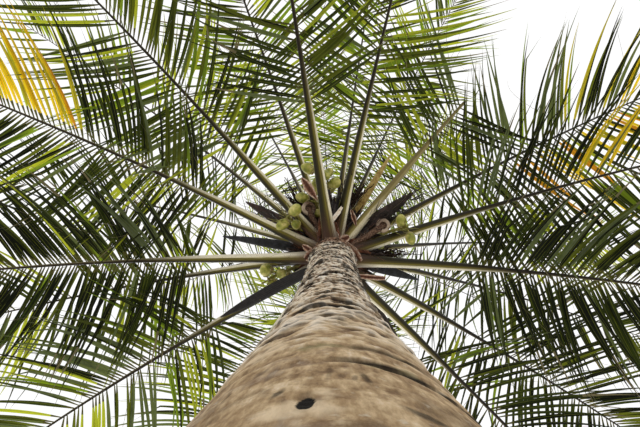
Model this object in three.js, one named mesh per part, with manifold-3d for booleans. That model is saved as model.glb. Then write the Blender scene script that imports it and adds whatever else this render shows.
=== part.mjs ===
// A young coconut palm, 4.5 m to its crown, as closed solids.
// Millimetres, +Z up, origin at the centre of the flat cut at ground level.
// The trunk leans towards +Y. An azimuth turns from +X towards +Y, and a rise is above level.
import * as THREE from "three";
import { mergeVertices } from "three/addons/utils/BufferGeometryUtils.js";
import Module from "manifold-3d";

const wasm = await Module();
wasm.setup();

// Trunk
const TRUNK_HEIGHT = 4500;
const TRUNK_RADIUS = 138; // the even upper stem
const BOLE_SWELL = 140; // added to the radius low down
const BOLE_HEIGHT = 1850; // where half of the swell is gone
const BOLE_BLEND = 420;
const ROOT_FLARE = 100; // added to the radius at the ground
const ROOT_FLARE_HEIGHT = 160;
const NECK_SWELL = 8; // the stem widens a little under the crown
const NECK_HEIGHT = 900;
const LEAN = 310; // offset of the top along +Y
const LEAN_POWER = 1.45;
const SIDE_LEAN = 85; // offset of the top along +X
const SIDE_LEAN_POWER = 1.7;
const CROWN_LEAN = 0.02; // slope of the stem inside the crown
const TRUNK_SIDES = 20;
const FLARE_RINGS = [0, 50, 110, 190, 300, 450];
const STEM_RINGS = 15; // from STEM_START up to the top
const STEM_START = 700;

// Heart: the stem's tip in its sheath of leaf bases and fibre
const HEART_HEIGHT = 640;
const HEART_RADIUS = 126;
const HEART_TIP_RADIUS = 42;
const HEART_TAPER_POWER = 1.3;
const HEART_RINGS = [0, 0.3, 0.55, 0.8, 1];
const HEART_SIDES = 12;
const ROOT_DEPTH = 22; // how far inside the heart's skin a stalk starts, before it is cut to fit

// Fronds, oldest first. The rest of a frond's shape follows from its place in this list.
const FROND_AZIMUTHS = [
  -99, 7, 176, 46, 147, -157, -14, -134, -76, 33, 167, -46, -24, -110, 123, 56, 19, -146, -172, -80, 5,
  98, -60, 78, -122, 28, 156, -30, 112, -92,
];
const YOUNGEST = FROND_AZIMUTHS.length - 1;
const BROKEN_FROND = 11; // its end has snapped off
const BROKEN_SHARE = 0.41;
const FROND_LENGTH = 4400;
const YOUNG_SHORTFALL = 0.2; // the youngest frond is this much shorter
const PETIOLE_LENGTH = 1080; // bare stalk before the first leaflet
const LOWEST_BASE = 55; // height of the oldest frond's base above the trunk
const BASE_STEP = 15.5; // each younger frond starts this much higher
const OLD_RISE = 22;
const YOUNG_RISE = 78;
const RISE_POWER = 1.7;
const OLD_DROOP = 60; // degrees that a rib turns down from base to tip
const YOUNG_DROOP = 44;
const DROOP_POWER = 1.5;
const PATH_STEPS = 40;

// A stalk is flat on top and keeled below, as shares of its width and depth.
const STALK_SECTION = [[-0.5, 0.3], [-0.32, -0.4], [0.1, -0.7], [0.42, -0.3], [0.5, 0.3]];
const FOOT_WIDTH = 118; // where it clasps the heart
const FOOT_SHARE = 0.035; // how soon the foot narrows, as a share of the frond
const STALK_WIDTH = 84;
const STALK_DEPTH = 50;
const YOUNG_STALK = 0.72; // the youngest stalk's share of those widths
const TIP_WIDTH = 9;
const RIB_TAPER_POWER = 0.8;
const RIB_STATIONS = 9;
const RIB_STATION_POWER = 1.25; // stations stand closer near the foot

// Leaflets: each solid stands for about seven real ones
const LEAFLET_PAIRS = 12;
const LAST_LEAFLET = 0.985; // as a share of the rib
const LEAFLET_LENGTH = 1250; // before the share by place along the rib
const LEAFLET_WIDTH = 165;
const LEAFLET_HALF_THICKNESS = 0.0062; // as a share of its length
const LEAFLET_LEAST_HALF_THICKNESS = 5;
const LEAFLET_STEPS = 8;
const LEAFLET_WIDEST_STEP = 3;
const BASE_SPREAD = 74; // degrees between leaflet and rib at the rib's foot
const TIP_SPREAD = 30;
const OLD_LIFT = -8; // degrees that leaflets stand above the rib's plane
const YOUNG_LIFT = 26;
const LIFT_NOISE = 14;
const OLD_SAG = 1.0; // pull of gravity against stiffness
const YOUNG_SAG = 0.45;
const SAG_POWER = 1.3;
const ROLL = 16; // degrees that a frond's blade turns over, either way, towards its tip
const ROLL_STEP = 2.4; // radians of the sine from one frond to the next
const SHORTER = [1, 0.72, 0.5]; // shares of its length that a leaflet tries, to miss its neighbours

// Spear: the unopened youngest leaf
const SPEAR = { azimuth: 20, rise: 86, droop: 6, length: 1900 };
const SPEAR_RADII = [[0, 26], [0.35, 30], [0.75, 16], [1, 6]];

// Nut bunches: one bent stalk each
const BUNCHES = [
  { azimuth: -98, length: 600, base: 290, nuts: 11 },
  { azimuth: -20, length: 560, base: 200, nuts: 6 },
  { azimuth: -140, length: 380, base: 160, nuts: 6 },
  { azimuth: 159, length: 460, base: 160, nuts: 6 },
  { azimuth: 69, length: 480, base: 215, nuts: 5 },
];
const BUNCH_BEND = { rise: 44, droop: 95 };
const BUNCH_STALK = { from: 0.05, to: 1, startRadius: 21, endRadius: 10, sides: 5 };
const FIRST_NUT = 0.5; // as a share of the stalk
const NUT_RADIUS = 38;
const NUT_STRETCH = 1.32; // length over width
const NUT_OUTSETS = [1.75, 2.8]; // from the stalk to a nut's centre, in nut radii, by turns
const NUT_TWIG_RADIUS = 9;

// Spathes: woody boat-shaped sheaths of old flower stalks
const SPATHES = [
  { azimuth: -152, length: 760, base: 360, rise: 26, width: 104 },
  { azimuth: -172, length: 760, base: 265, rise: 14, width: 70 },
  { azimuth: 152, length: 780, base: 46, rise: 6, width: 80 },
  { azimuth: 18, length: 620, base: 250, rise: 16, width: 80 },
  { azimuth: -34, length: 760, base: 330, rise: 26, width: 112 },
  { azimuth: -57, length: 900, base: 340, rise: 30, width: 66 },
  { azimuth: 54, length: 900, base: 330, rise: 20, width: 84 },
  { azimuth: -110, length: 560, base: 345, rise: 30, width: 92 },
];
const SPATHE_DROOP = 14;
const SPATHE_STATIONS = [0.12, 0.3, 0.52, 0.74, 0.9];
const SPATHE_DEPTH_SHARE = 0.44; // of its width
const SPATHE_WALL = 11;

// Spent flower stalks: dry twigs left after the flowers have dropped
const SPENT_STALKS = [
  { azimuth: -130, length: 330, base: 330 },
  { azimuth: -71, length: 330, base: 330 },
  { azimuth: 9, length: 330, base: 330 },
  { azimuth: 115, length: 330, base: 330 },
];
const SPENT_BEND = { rise: 40, droop: 30 };
const SPENT_STALK = { from: 0.05, to: 1, startRadius: 15, endRadius: 8, sides: 4 };
const SPENT_TWIGS = 9;
const SPENT_TWIG_LENGTH = 330;
const SPENT_TWIG_RADIUS = 6;

// Cut stalks: sawn fruit stalks with a swollen end
const CUT_STALKS = [
  { azimuth: -27, length: 420, base: 170, endRadius: 48 },
  { azimuth: -119, length: 350, base: 215, endRadius: 48 },
];
const CUT_BEND = { rise: 26, droop: -10 };
const CUT_NECK = { from: 0.05, to: 0.82, startRadius: 20, endRadius: 24, sides: 6 };
const CUT_CUP = { from: 0.8, to: 1, startRadius: 24, sides: 8 };

const GAP = 0.3; // least distance between neighbouring solids
const CUT_GAP = 0.8; // clearance with which one solid is cut to make room for another
const GOLDEN_ANGLE = 137.5;
const UP = new THREE.Vector3(0, 0, 1);

const BARK = new THREE.MeshStandardMaterial({ color: 0x8d7a62, roughness: 0.95, metalness: 0 });
const FIBRE = new THREE.MeshStandardMaterial({ color: 0x7a4a32, roughness: 1, metalness: 0 });
const LEAF = new THREE.MeshStandardMaterial({ color: 0x4a5a22, roughness: 0.55, metalness: 0 });
const NUT = new THREE.MeshStandardMaterial({ color: 0x9ba046, roughness: 0.45, metalness: 0 });
const DRY_SHEATH = new THREE.MeshStandardMaterial({ color: 0x3b2620, roughness: 0.85, metalness: 0 });
const DRY_TWIG = new THREE.MeshStandardMaterial({ color: 0x4a3426, roughness: 0.95, metalness: 0 });

const radians = THREE.MathUtils.degToRad;
const mix = THREE.MathUtils.lerp;

// A fixed sequence of numbers from 0 to 1, so that each run gives the same palm.
function seeded(seed) {
  let state = (seed * 2654435761) >>> 0;
  return () => {
    state = (Math.imul(state, 1664525) + 1013904223) >>> 0;
    return state / 2 ** 32;
  };
}

function toSolid(geometry) {
  const bare = geometry.clone();
  bare.deleteAttribute("normal");
  bare.deleteAttribute("uv");
  const merged = mergeVertices(bare, 1e-3);
  const vertProperties = new Float32Array(merged.attributes.position.array);
  const triVerts = new Uint32Array(merged.index.array);
  return new wasm.Manifold(new wasm.Mesh({ numProp: 3, vertProperties, triVerts }));
}

function toMesh(name, solid, material) {
  const { vertProperties, triVerts } = solid.getMesh();
  const geometry = new THREE.BufferGeometry();
  geometry.setAttribute("position", new THREE.BufferAttribute(new Float32Array(vertProperties), 3));
  geometry.setIndex(new THREE.BufferAttribute(new Uint32Array(triVerts), 1));
  geometry.computeVertexNormals();
  const mesh = new THREE.Mesh(geometry, material);
  mesh.name = name;
  return mesh;
}

// A closed skin over a row of sections. A section is a ring of points, or one point for a tip.
function loft(sections) {
  const points = [];
  const starts = sections.map((section) => {
    points.push(...section);
    return points.length - section.length;
  });
  const faces = [];
  for (let i = 0; i + 1 < sections.length; i++) {
    const [low, high] = [sections[i].length, sections[i + 1].length];
    const sides = Math.max(low, high);
    for (let j = 0; j < sides; j++) {
      const next = (j + 1) % sides;
      const [a, b] = [starts[i] + (j % low), starts[i] + (next % low)];
      const [c, d] = [starts[i + 1] + (j % high), starts[i + 1] + (next % high)];
      if (low > 1) faces.push(a, b, d);
      if (high > 1) faces.push(a, d, c);
    }
  }
  const end = sections.length - 1;
  for (let j = 1; j + 1 < sections[0].length; j++) faces.push(0, j + 1, j);
  for (let j = 1; j + 1 < sections[end].length; j++) {
    faces.push(starts[end], starts[end] + j, starts[end] + j + 1);
  }
  const geometry = new THREE.BufferGeometry().setFromPoints(points);
  const solid = toSolid(geometry.setIndex(faces));
  return solid.volume() > 0 ? solid : toSolid(geometry.setIndex(faces.reverse()));
}

// A ring of points round a centre, in the plane of two axes.
function ring(centre, xAxis, yAxis, radius, sides) {
  return Array.from({ length: sides }, (_, i) => {
    const turn = (2 * Math.PI * i) / sides;
    const point = centre.clone().addScaledVector(xAxis, radius * Math.cos(turn));
    return point.addScaledVector(yAxis, radius * Math.sin(turn));
  });
}

function levelRing(centre, radius, sides) {
  return ring(centre, new THREE.Vector3(1, 0, 0), new THREE.Vector3(0, 1, 0), radius, sides);
}

function largest(solid) {
  return solid.decompose().sort((a, b) => b.volume() - a.volume())[0];
}

// The stem's centre line, carried on into the crown.
function stemCentre(z) {
  const share = Math.min(z / TRUNK_HEIGHT, 1);
  const above = CROWN_LEAN * Math.max(z - TRUNK_HEIGHT, 0);
  const x = SIDE_LEAN * share ** SIDE_LEAN_POWER;
  const y = LEAN * (1 - (1 - share) ** LEAN_POWER);
  return new THREE.Vector3(x + above, y + above, z);
}

function trunkRadius(z) {
  const bole = BOLE_SWELL / (1 + Math.exp((z - BOLE_HEIGHT) / BOLE_BLEND));
  const flare = ROOT_FLARE * Math.exp(-z / ROOT_FLARE_HEIGHT);
  const neck = (NECK_SWELL * Math.max(z - TRUNK_HEIGHT + NECK_HEIGHT, 0)) / NECK_HEIGHT;
  return TRUNK_RADIUS + bole + flare + neck;
}

function makeTrunk() {
  const stemHeight = (i) => mix(STEM_START, TRUNK_HEIGHT, i / (STEM_RINGS - 1));
  const heights = [...FLARE_RINGS, ...Array.from({ length: STEM_RINGS }, (_, i) => stemHeight(i))];
  return loft(heights.map((z) => levelRing(stemCentre(z), trunkRadius(z), TRUNK_SIDES)));
}

function heartRadius(share) {
  return mix(HEART_RADIUS, HEART_TIP_RADIUS, Math.min(share, 1) ** HEART_TAPER_POWER);
}

function makeHeart(clearance) {
  const section = (share) => {
    const centre = stemCentre(TRUNK_HEIGHT + GAP + share * HEART_HEIGHT);
    return levelRing(centre, heartRadius(share) + clearance, HEART_SIDES);
  };
  return loft(HEART_RINGS.map(section));
}

// Walks out from the heart along a rib that turns down as it goes, with the rib's own axes at each step.
function ribPath({ azimuth, rise, droop, length, base }, steps) {
  const turn = radians(azimuth);
  const outward = new THREE.Vector3(Math.cos(turn), Math.sin(turn), 0);
  const side = new THREE.Vector3(-Math.sin(turn), Math.cos(turn), 0);
  const foot = heartRadius(base / HEART_HEIGHT) - ROOT_DEPTH;
  const point = stemCentre(TRUNK_HEIGHT + base).addScaledVector(outward, foot);
  const path = [];
  for (let i = 0; i <= steps; i++) {
    const tilt = radians(rise - droop * (i / steps) ** DROOP_POWER);
    const along = outward.clone().multiplyScalar(Math.cos(tilt)).addScaledVector(UP, Math.sin(tilt));
    path.push({ point: point.clone(), along, side, top: along.clone().cross(side) });
    point.addScaledVector(along, length / steps);
  }
  return path;
}

function pathAt(path, share) {
  const place = Math.min(Math.max(share, 0), 1) * (path.length - 1);
  const i = Math.min(Math.floor(place), path.length - 2);
  const blend = (key) => path[i][key].clone().lerp(path[i + 1][key], place - i);
  const [along, top] = [blend("along").normalize(), blend("top").normalize()];
  return { point: blend("point"), along, side: path[i].side, top };
}

function makeStalk(path, { from, to, startRadius, endRadius, sides }) {
  const stations = 5;
  const section = (share) => {
    const { point, side, top } = pathAt(path, mix(from, to, share));
    return ring(point, side, top, mix(startRadius, endRadius, share), sides);
  };
  return loft(Array.from({ length: stations + 1 }, (_, i) => section(i / stations)));
}

// A three-sided twig from one point to another, thick at its foot.
function makeTwig(from, to, radius) {
  const along = to.clone().sub(from).normalize();
  const level = Math.abs(along.z) < 0.9 ? UP : new THREE.Vector3(1, 0, 0);
  const side = along.clone().cross(level).normalize();
  return loft([ring(from, side, along.clone().cross(side), radius, 3), [to]]);
}

function frondShape(age) {
  const youth = age / YOUNGEST;
  return {
    youth,
    azimuth: FROND_AZIMUTHS[age],
    rise: mix(OLD_RISE, YOUNG_RISE, youth ** RISE_POWER),
    droop: mix(OLD_DROOP, YOUNG_DROOP, youth ** 2),
    length: FROND_LENGTH * (1 - YOUNG_SHORTFALL * youth ** 3),
    base: LOWEST_BASE + BASE_STEP * age,
    reach: age === BROKEN_FROND ? BROKEN_SHARE : 1, // the share of the length that is still there
    roll: ROLL * Math.sin(ROLL_STEP * age),
  };
}

// A clasping foot, an even stalk, then a long taper.
function ribWidth(share) {
  const foot = (FOOT_WIDTH - STALK_WIDTH) * Math.exp(-share / FOOT_SHARE);
  return foot + mix(STALK_WIDTH, TIP_WIDTH, share ** RIB_TAPER_POWER);
}

function makeRib({ reach, youth }, path, clearance) {
  const section = (share) => {
    const { point, side, top } = pathAt(path, share);
    const width = ribWidth(share) * mix(1, YOUNG_STALK, youth);
    const depth = Math.max((width * STALK_DEPTH) / STALK_WIDTH, TIP_WIDTH);
    return STALK_SECTION.map(([x, y]) => {
      const corner = point.clone().addScaledVector(side, x * (width + 2 * clearance));
      return corner.addScaledVector(top, y * (depth + 2 * clearance));
    });
  };
  const shares = Array.from({ length: RIB_STATIONS + 1 }, (_, i) => (i / RIB_STATIONS) ** RIB_STATION_POWER);
  return loft(shares.map((share) => section(reach * share)));
}

// Share of the full leaflet length, from place 0 at the rib's first leaflet to 1 at its last.
function leafletShare(place) {
  return 0.6 + 1.65 * place - 2.4 * place ** 2 + 0.5 * place ** 3;
}

// One leaflet: a thin blade with its root in the rib, drooping to a point. The hand is 1 or -1.
function makeLeaflet({ youth, length: ribLength, roll }, path, place, hand, lengthShare, noise) {
  const { point, along, side, top } = pathAt(path, mix(PETIOLE_LENGTH / ribLength, LAST_LEAFLET, place));
  const turn = radians(roll * place);
  const out = side.clone().multiplyScalar(Math.cos(turn)).addScaledVector(top, Math.sin(turn));
  const spread = radians(mix(BASE_SPREAD, TIP_SPREAD, place));
  const lift = radians(mix(OLD_LIFT, YOUNG_LIFT, youth) + noise);
  const start = along.clone().multiplyScalar(Math.cos(spread));
  start.addScaledVector(out, hand * Math.sin(spread) * Math.cos(lift));
  start.addScaledVector(top, Math.sin(spread) * Math.sin(lift));
  const length = LEAFLET_LENGTH * leafletShare(place) * lengthShare;
  const sag = mix(OLD_SAG, YOUNG_SAG, youth) * lengthShare;
  const spine = [point.clone()];
  for (let i = 0; i < LEAFLET_STEPS; i++) {
    const pull = sag * ((i + 0.5) / LEAFLET_STEPS) ** SAG_POWER;
    const heading = start.clone().addScaledVector(UP, -pull).normalize();
    spine.push(spine[i].clone().addScaledVector(heading, length / LEAFLET_STEPS));
  }
  const across = along.clone().addScaledVector(start, -along.dot(start)).normalize();
  const flat = across.clone().cross(start).normalize();
  const halfWidth = (LEAFLET_WIDTH * mix(1, leafletShare(place), 0.45)) / 2;
  const halfThickness = Math.max(LEAFLET_HALF_THICKNESS * length, LEAFLET_LEAST_HALF_THICKNESS);
  const widest = spine[LEAFLET_WIDEST_STEP];
  const belt = [
    widest.clone().addScaledVector(across, halfWidth),
    widest.clone().addScaledVector(flat, halfThickness),
    widest.clone().addScaledVector(across, -halfWidth),
    widest.clone().addScaledVector(flat, -halfThickness),
  ];
  return loft([[spine[0]], belt, [spine[LEAFLET_STEPS]]]);
}

// What has been placed so far, so that each new piece keeps to its own space.
const placed = [];

function place(owner, solid) {
  placed.push({ owner, solid, box: solid.boundingBox() });
}

function boxesMeet(a, b) {
  return [0, 1, 2].every((axis) => a.min[axis] < b.max[axis] + GAP && b.min[axis] < a.max[axis] + GAP);
}

function isClear(owner, solid) {
  const box = solid.boundingBox();
  const near = placed.filter((other) => other.owner !== owner && boxesMeet(box, other.box));
  return near.every((other) => solid.minGap(other.solid, 2 * GAP) >= GAP);
}

const palm = new THREE.Group();

function add(name, solid, material) {
  palm.add(toMesh(name, solid, material));
  place(name, solid);
}

add("trunk", makeTrunk(), BARK);
add("heart", makeHeart(0), FIBRE);

// Ribs come before leaflets, each cut clear of the heart and of the older ribs beside it.
const taken = [makeHeart(CUT_GAP)];

function cutClear(solid) {
  return largest(taken.reduce((rest, space) => rest.subtract(space), solid));
}

const fronds = FROND_AZIMUTHS.map((_, age) => {
  const shape = frondShape(age);
  const path = ribPath(shape, PATH_STEPS);
  const rib = cutClear(makeRib(shape, path, 0));
  taken.push(makeRib(shape, path, CUT_GAP));
  const name = `frond_${String(age + 1).padStart(2, "0")}`;
  place(name, rib);
  return { name, age, shape, path, rib };
});

function makeSpear() {
  const path = ribPath({ ...SPEAR, base: HEART_HEIGHT + GAP }, PATH_STEPS);
  const foot = stemCentre(TRUNK_HEIGHT + HEART_HEIGHT + 2 * GAP).sub(path[0].point);
  const section = ([share, radius]) => levelRing(pathAt(path, share).point.add(foot), radius, 6);
  return loft(SPEAR_RADII.map(section));
}

// A fruit stalk, sawn off where it swells into a round end.
function makeCutStalk({ azimuth, length, base, endRadius }) {
  const path = ribPath({ ...CUT_BEND, azimuth, length, base }, PATH_STEPS);
  return cutClear(makeStalk(path, CUT_NECK).add(makeStalk(path, { ...CUT_CUP, endRadius })));
}

// A spathe is half a pointed boat, open on top.
function makeSpathe({ azimuth, length, base, rise, width }) {
  const path = ribPath({ azimuth, rise, droop: SPATHE_DROOP, length, base }, PATH_STEPS);
  const section = (share) => {
    const { point, side, top } = pathAt(path, share);
    const fullness = Math.sin(Math.PI * share ** 0.8) ** 0.7;
    const half = (width / 2) * fullness;
    const [rim, flank, keel] = [0.5, -0.33, -0.5].map((y) => y * SPATHE_DEPTH_SHARE * width * fullness);
    const outline = [
      [half, rim],
      [0.7 * half, flank],
      [0, keel],
      [-0.7 * half, flank],
      [-half, rim],
      [-0.6 * half, flank + SPATHE_WALL],
      [0, keel + SPATHE_WALL],
      [0.6 * half, flank + SPATHE_WALL],
    ];
    return outline.map(([x, y]) => point.clone().addScaledVector(side, x).addScaledVector(top, y));
  };
  const [foot, tip] = [path[0].point, path[PATH_STEPS].point];
  return cutClear(loft([[foot], ...SPATHE_STATIONS.map(section), [tip]]));
}

// Unit vectors that stand out round a stalk, one after the other by the golden angle.
function sprout(path, share, i, lean) {
  const { point, along, side, top } = pathAt(path, share);
  const turn = radians(i * GOLDEN_ANGLE);
  const out = side.clone().multiplyScalar(Math.cos(turn)).addScaledVector(top, Math.sin(turn));
  return { point, out: out.addScaledVector(along, lean).normalize() };
}

function makeNut(centre, axis, radius) {
  const geometry = new THREE.SphereGeometry(radius, 6, 5);
  geometry.scale(1, NUT_STRETCH, 1);
  geometry.applyQuaternion(new THREE.Quaternion().setFromUnitVectors(new THREE.Vector3(0, 1, 0), axis));
  geometry.translate(centre.x, centre.y, centre.z);
  return toSolid(geometry);
}

// Nuts sit round the outer half of a bent stalk, each on a short twig.
function makeBunch({ azimuth, length, base, nuts, name, seed }) {
  const random = seeded(seed);
  const path = ribPath({ ...BUNCH_BEND, azimuth, length, base }, PATH_STEPS);
  let bunch = cutClear(makeStalk(path, BUNCH_STALK));
  for (let i = 0; i < nuts; i++) {
    const { point, out } = sprout(path, mix(FIRST_NUT, 1, i / (nuts - 1)), i, 0.5);
    const radius = NUT_RADIUS * mix(0.86, 1.1, random());
    const centre = point.clone().addScaledVector(out, NUT_OUTSETS[i % 2] * radius);
    const fruit = makeNut(centre, out, radius).add(makeTwig(point, centre, NUT_TWIG_RADIUS));
    if (isClear(name, fruit)) bunch = bunch.add(fruit);
  }
  return largest(bunch);
}

function makeSpentStalk({ azimuth, length, base, name, seed }) {
  const random = seeded(seed);
  const path = ribPath({ ...SPENT_BEND, azimuth, length, base }, PATH_STEPS);
  let stalk = cutClear(makeStalk(path, SPENT_STALK));
  for (let i = 0; i < SPENT_TWIGS; i++) {
    const { point, out } = sprout(path, mix(0.5, 1, i / (SPENT_TWIGS - 1)), i, mix(1.6, 4, random()));
    const tip = point.clone().addScaledVector(out, SPENT_TWIG_LENGTH * mix(0.7, 1.1, random()));
    const twig = makeTwig(point, tip, SPENT_TWIG_RADIUS);
    if (isClear(name, twig)) stalk = stalk.add(twig);
  }
  return largest(stalk);
}

// Adds a row of like pieces, each of which has to be clear of all that is there.
function addRow(prefix, material, items, make) {
  items.forEach((item, i) => {
    const name = `${prefix}_${i + 1}`;
    const solid = make({ ...item, name, seed: prefix.length + i });
    if (!isClear(name, solid)) throw new Error(`${name} touches a neighbour`);
    add(name, solid, material);
  });
}

add("spear", makeSpear(), LEAF);
addRow("cut_stalk", FIBRE, CUT_STALKS, makeCutStalk);
addRow("spathe", DRY_SHEATH, SPATHES, makeSpathe);
addRow("nut_bunch", NUT, BUNCHES, makeBunch);
addRow("spent_stalk", DRY_TWIG, SPENT_STALKS, makeSpentStalk);

// Leaflets last. Where a full one would touch a neighbour a shorter one is tried, and then none.
for (const { name, age, shape, path, rib } of fronds) {
  const random = seeded(101 + age);
  const blades = [rib];
  const count = 2 * LEAFLET_PAIRS;
  for (let i = 0; i < count; i++) {
    const along = i / (count - 1);
    const hand = i % 2 ? 1 : -1;
    const noise = LIFT_NOISE * (random() - 0.5);
    if (mix(PETIOLE_LENGTH / shape.length, LAST_LEAFLET, along) > shape.reach) break;
    for (const share of SHORTER) {
      const blade = makeLeaflet(shape, path, along, hand, share, noise);
      if (isClear(name, blade)) {
        blades.push(blade);
        place(name, blade);
        break;
      }
    }
  }
  palm.add(toMesh(name, largest(wasm.Manifold.union(blades)), LEAF));
}

export default palm;
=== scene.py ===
# A young coconut palm, 4.5 m to its crown, rooted in the ground. The camera stands beside the trunk and looks
# straight up.
# Metres, +Z up, origin at the centre of the flat cut at ground level. The trunk leans towards +Y.
# An azimuth turns from +X towards +Y, and a rise is above level.
import math

import bmesh
import bpy
import numpy as np
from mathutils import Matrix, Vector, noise


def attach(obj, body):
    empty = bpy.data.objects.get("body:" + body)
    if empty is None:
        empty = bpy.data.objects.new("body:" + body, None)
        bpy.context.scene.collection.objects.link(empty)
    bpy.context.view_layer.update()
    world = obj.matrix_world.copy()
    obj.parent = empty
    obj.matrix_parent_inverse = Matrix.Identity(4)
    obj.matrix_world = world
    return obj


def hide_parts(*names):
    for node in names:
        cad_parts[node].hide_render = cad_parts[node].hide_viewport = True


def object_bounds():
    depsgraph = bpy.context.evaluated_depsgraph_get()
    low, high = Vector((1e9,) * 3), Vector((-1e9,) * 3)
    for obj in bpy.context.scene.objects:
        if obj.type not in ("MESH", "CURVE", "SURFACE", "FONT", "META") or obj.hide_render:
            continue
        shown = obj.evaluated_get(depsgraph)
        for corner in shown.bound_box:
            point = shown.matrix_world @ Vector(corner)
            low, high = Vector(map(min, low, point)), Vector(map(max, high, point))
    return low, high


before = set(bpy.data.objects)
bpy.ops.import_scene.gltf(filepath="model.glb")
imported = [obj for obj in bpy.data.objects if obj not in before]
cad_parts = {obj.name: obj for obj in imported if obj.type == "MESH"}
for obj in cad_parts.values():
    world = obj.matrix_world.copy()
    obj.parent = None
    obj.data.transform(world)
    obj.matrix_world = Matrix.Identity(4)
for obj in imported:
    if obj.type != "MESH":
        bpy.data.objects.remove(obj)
cad_low, cad_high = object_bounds()


# Trunk
# One solid palm stem, grey and ringed by old leaf scars above, worn to beige wood over its swollen bole.
# A cylinder is cut into fine rows, and they are moved out to the stem's profile, its scars and its cracks.
TRUNK_HEIGHT = 4.5
TRUNK_RADIUS = 0.138
BOLE_SWELL = 0.14
BOLE_HEIGHT = 1.85
BOLE_BLEND = 0.42
ROOT_FLARE = 0.1
ROOT_FLARE_HEIGHT = 0.16
NECK_SWELL = 0.008
NECK_HEIGHT = 0.9
LEAN = 0.31
LEAN_POWER = 1.45
SIDE_LEAN = 0.085
SIDE_LEAN_POWER = 1.7
CROWN_LEAN = 0.02
TRUNK_SIDES = 192
ROW_CUTS = (100, 4)  # the rows are cut once by the first number, and each of those again by the second
SCAR_SPACING = 0.080
SCAR_DEPTH = 0.009  # how far a ring's lower lip stands out over the one below
SCAR_WIDTH = 0.010
SCAR_WANDER = 0.020  # how far a scar strays up and down on its way round
BARK_LUMP = 0.0035
FLAKE_DEPTH = 0.0034
RIDGE_DEPTH = 0.0120
SMOOTH_HEIGHT = 1.72  # below it the bole's own wood is nearly smooth
SHAGGY_HEIGHT, SHAGGY_BLEND = 2.30, 0.16  # above it the bark is flaky, below it is worn smooth
RIM_HEIGHT = 0.32  # the top of the stem keeps torn foot-ends of old sheaths
# Deep cracks along the rings: height, first and last azimuth, depth, half width, rise from first to last
CRACKS = [
    (2.330, -92, -26, 0.034, 0.013, -0.01),
    (2.235, -99, -38, 0.034, 0.014, -0.03),
    (2.42, -118, -84, 0.010, 0.007, 0.02),
    (2.10, -124, -100, 0.008, 0.006, 0.01),
    (1.98, -100, -60, 0.006, 0.005, 0.0),
    (1.86, -108, -93, 0.006, 0.006, 0.0),
    (1.776, -93, -40, 0.008, 0.005, -0.01),
    (1.676, -95, -18, 0.012, 0.006, -0.06),
    (1.75, -150, -116, 0.006, 0.005, 0.01),
    (2.80, -118, -46, 0.010, 0.010, 0.02),
    (3.10, -80, -20, 0.010, 0.010, 0.0),
    (3.45, -125, -75, 0.010, 0.012, 0.02),
    (1.30, 20, 120, 0.008, 0.006, 0.02),
    (0.85, -60, 40, 0.007, 0.006, 0.0),
    (0.62, 150, 250, 0.007, 0.006, 0.02),
    (2.05, 60, 160, 0.012, 0.006, 0.02),
    (2.50, 100, 190, 0.012, 0.008, 0.0),
]
# Holes and upright splits, with the shade inside them painted dark: azimuth, height, half width, half height,
# depth, lean in degrees, how dark
HOLES = [
    (-96.5, 1.546, 0.0075, 0.0150, 0.004, 8, 1.0),
    (-103.2, 1.580, 0.0040, 0.0110, 0.0, 20, 0.75),
    (-82.3, 1.622, 0.0036, 0.0190, 0.0, -8, 0.60),
    (-85.2, 1.618, 0.0030, 0.0080, 0.0, 10, 0.45),
    (-91.5, 1.635, 0.0026, 0.0240, 0.0, 4, 0.28),
    (-71.0, 1.535, 0.0080, 0.0200, 0.0, -60, 0.75),
    (-120.3, 1.650, 0.0028, 0.0180, 0.0, 0, 0.5),
    (-112.0, 1.700, 0.0050, 0.0100, 0.0, 30, 0.35),
    (-76.0, 1.450, 0.0100, 0.0120, 0.0, 30, 0.35),
    (-70.0, 0.95, 0.009, 0.014, 0.010, 20, 0.95),
    (110.0, 1.45, 0.008, 0.013, 0.010, -20, 0.95),
    (35.0, 1.70, 0.006, 0.012, 0.008, 12, 0.8),
]
# Blotches of another colour: azimuth, height, half width, half height, kind
BLOTCHES = [
    (-96.5, 1.540, 0.026, 0.038, "pale"),
    (-101.5, 1.525, 0.016, 0.020, "pale"),
    (-96.0, 1.785, 0.040, 0.022, "green"),
    (-72.0, 1.690, 0.050, 0.014, "green"),
    (-96.0, 2.300, 0.020, 0.030, "pale"),
    (-70.0, 2.150, 0.030, 0.045, "pale"),
    (-55.0, 1.950, 0.060, 0.060, "pale"),
    (-84.0, 2.030, 0.050, 0.045, "pale"),
    (-106.0, 2.080, 0.035, 0.030, "pale"),
    (-118.0, 1.860, 0.040, 0.040, "pale"),
    (-95.0, 1.470, 0.160, 0.028, "dark"),
    (-62.0, 1.580, 0.045, 0.030, "dark"),
    (-118.0, 1.600, 0.030, 0.022, "dark"),
    (60.0, 1.900, 0.060, 0.070, "green"),
    (130.0, 1.300, 0.070, 0.060, "pale"),
    (-170.0, 1.100, 0.060, 0.080, "dark"),
    (10.0, 0.700, 0.080, 0.060, "green"),
]


def mix(low, high, share):
    return low + (high - low) * share


def stem_centre(z):
    """The stem's centre line at each height, carried on into the crown."""
    share = np.minimum(z / TRUNK_HEIGHT, 1)
    above = CROWN_LEAN * np.maximum(z - TRUNK_HEIGHT, 0)
    x = SIDE_LEAN * share**SIDE_LEAN_POWER + above
    y = LEAN * (1 - (1 - share) ** LEAN_POWER) + above
    return np.stack([x, y, z * np.ones_like(x)], axis=-1)


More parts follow.
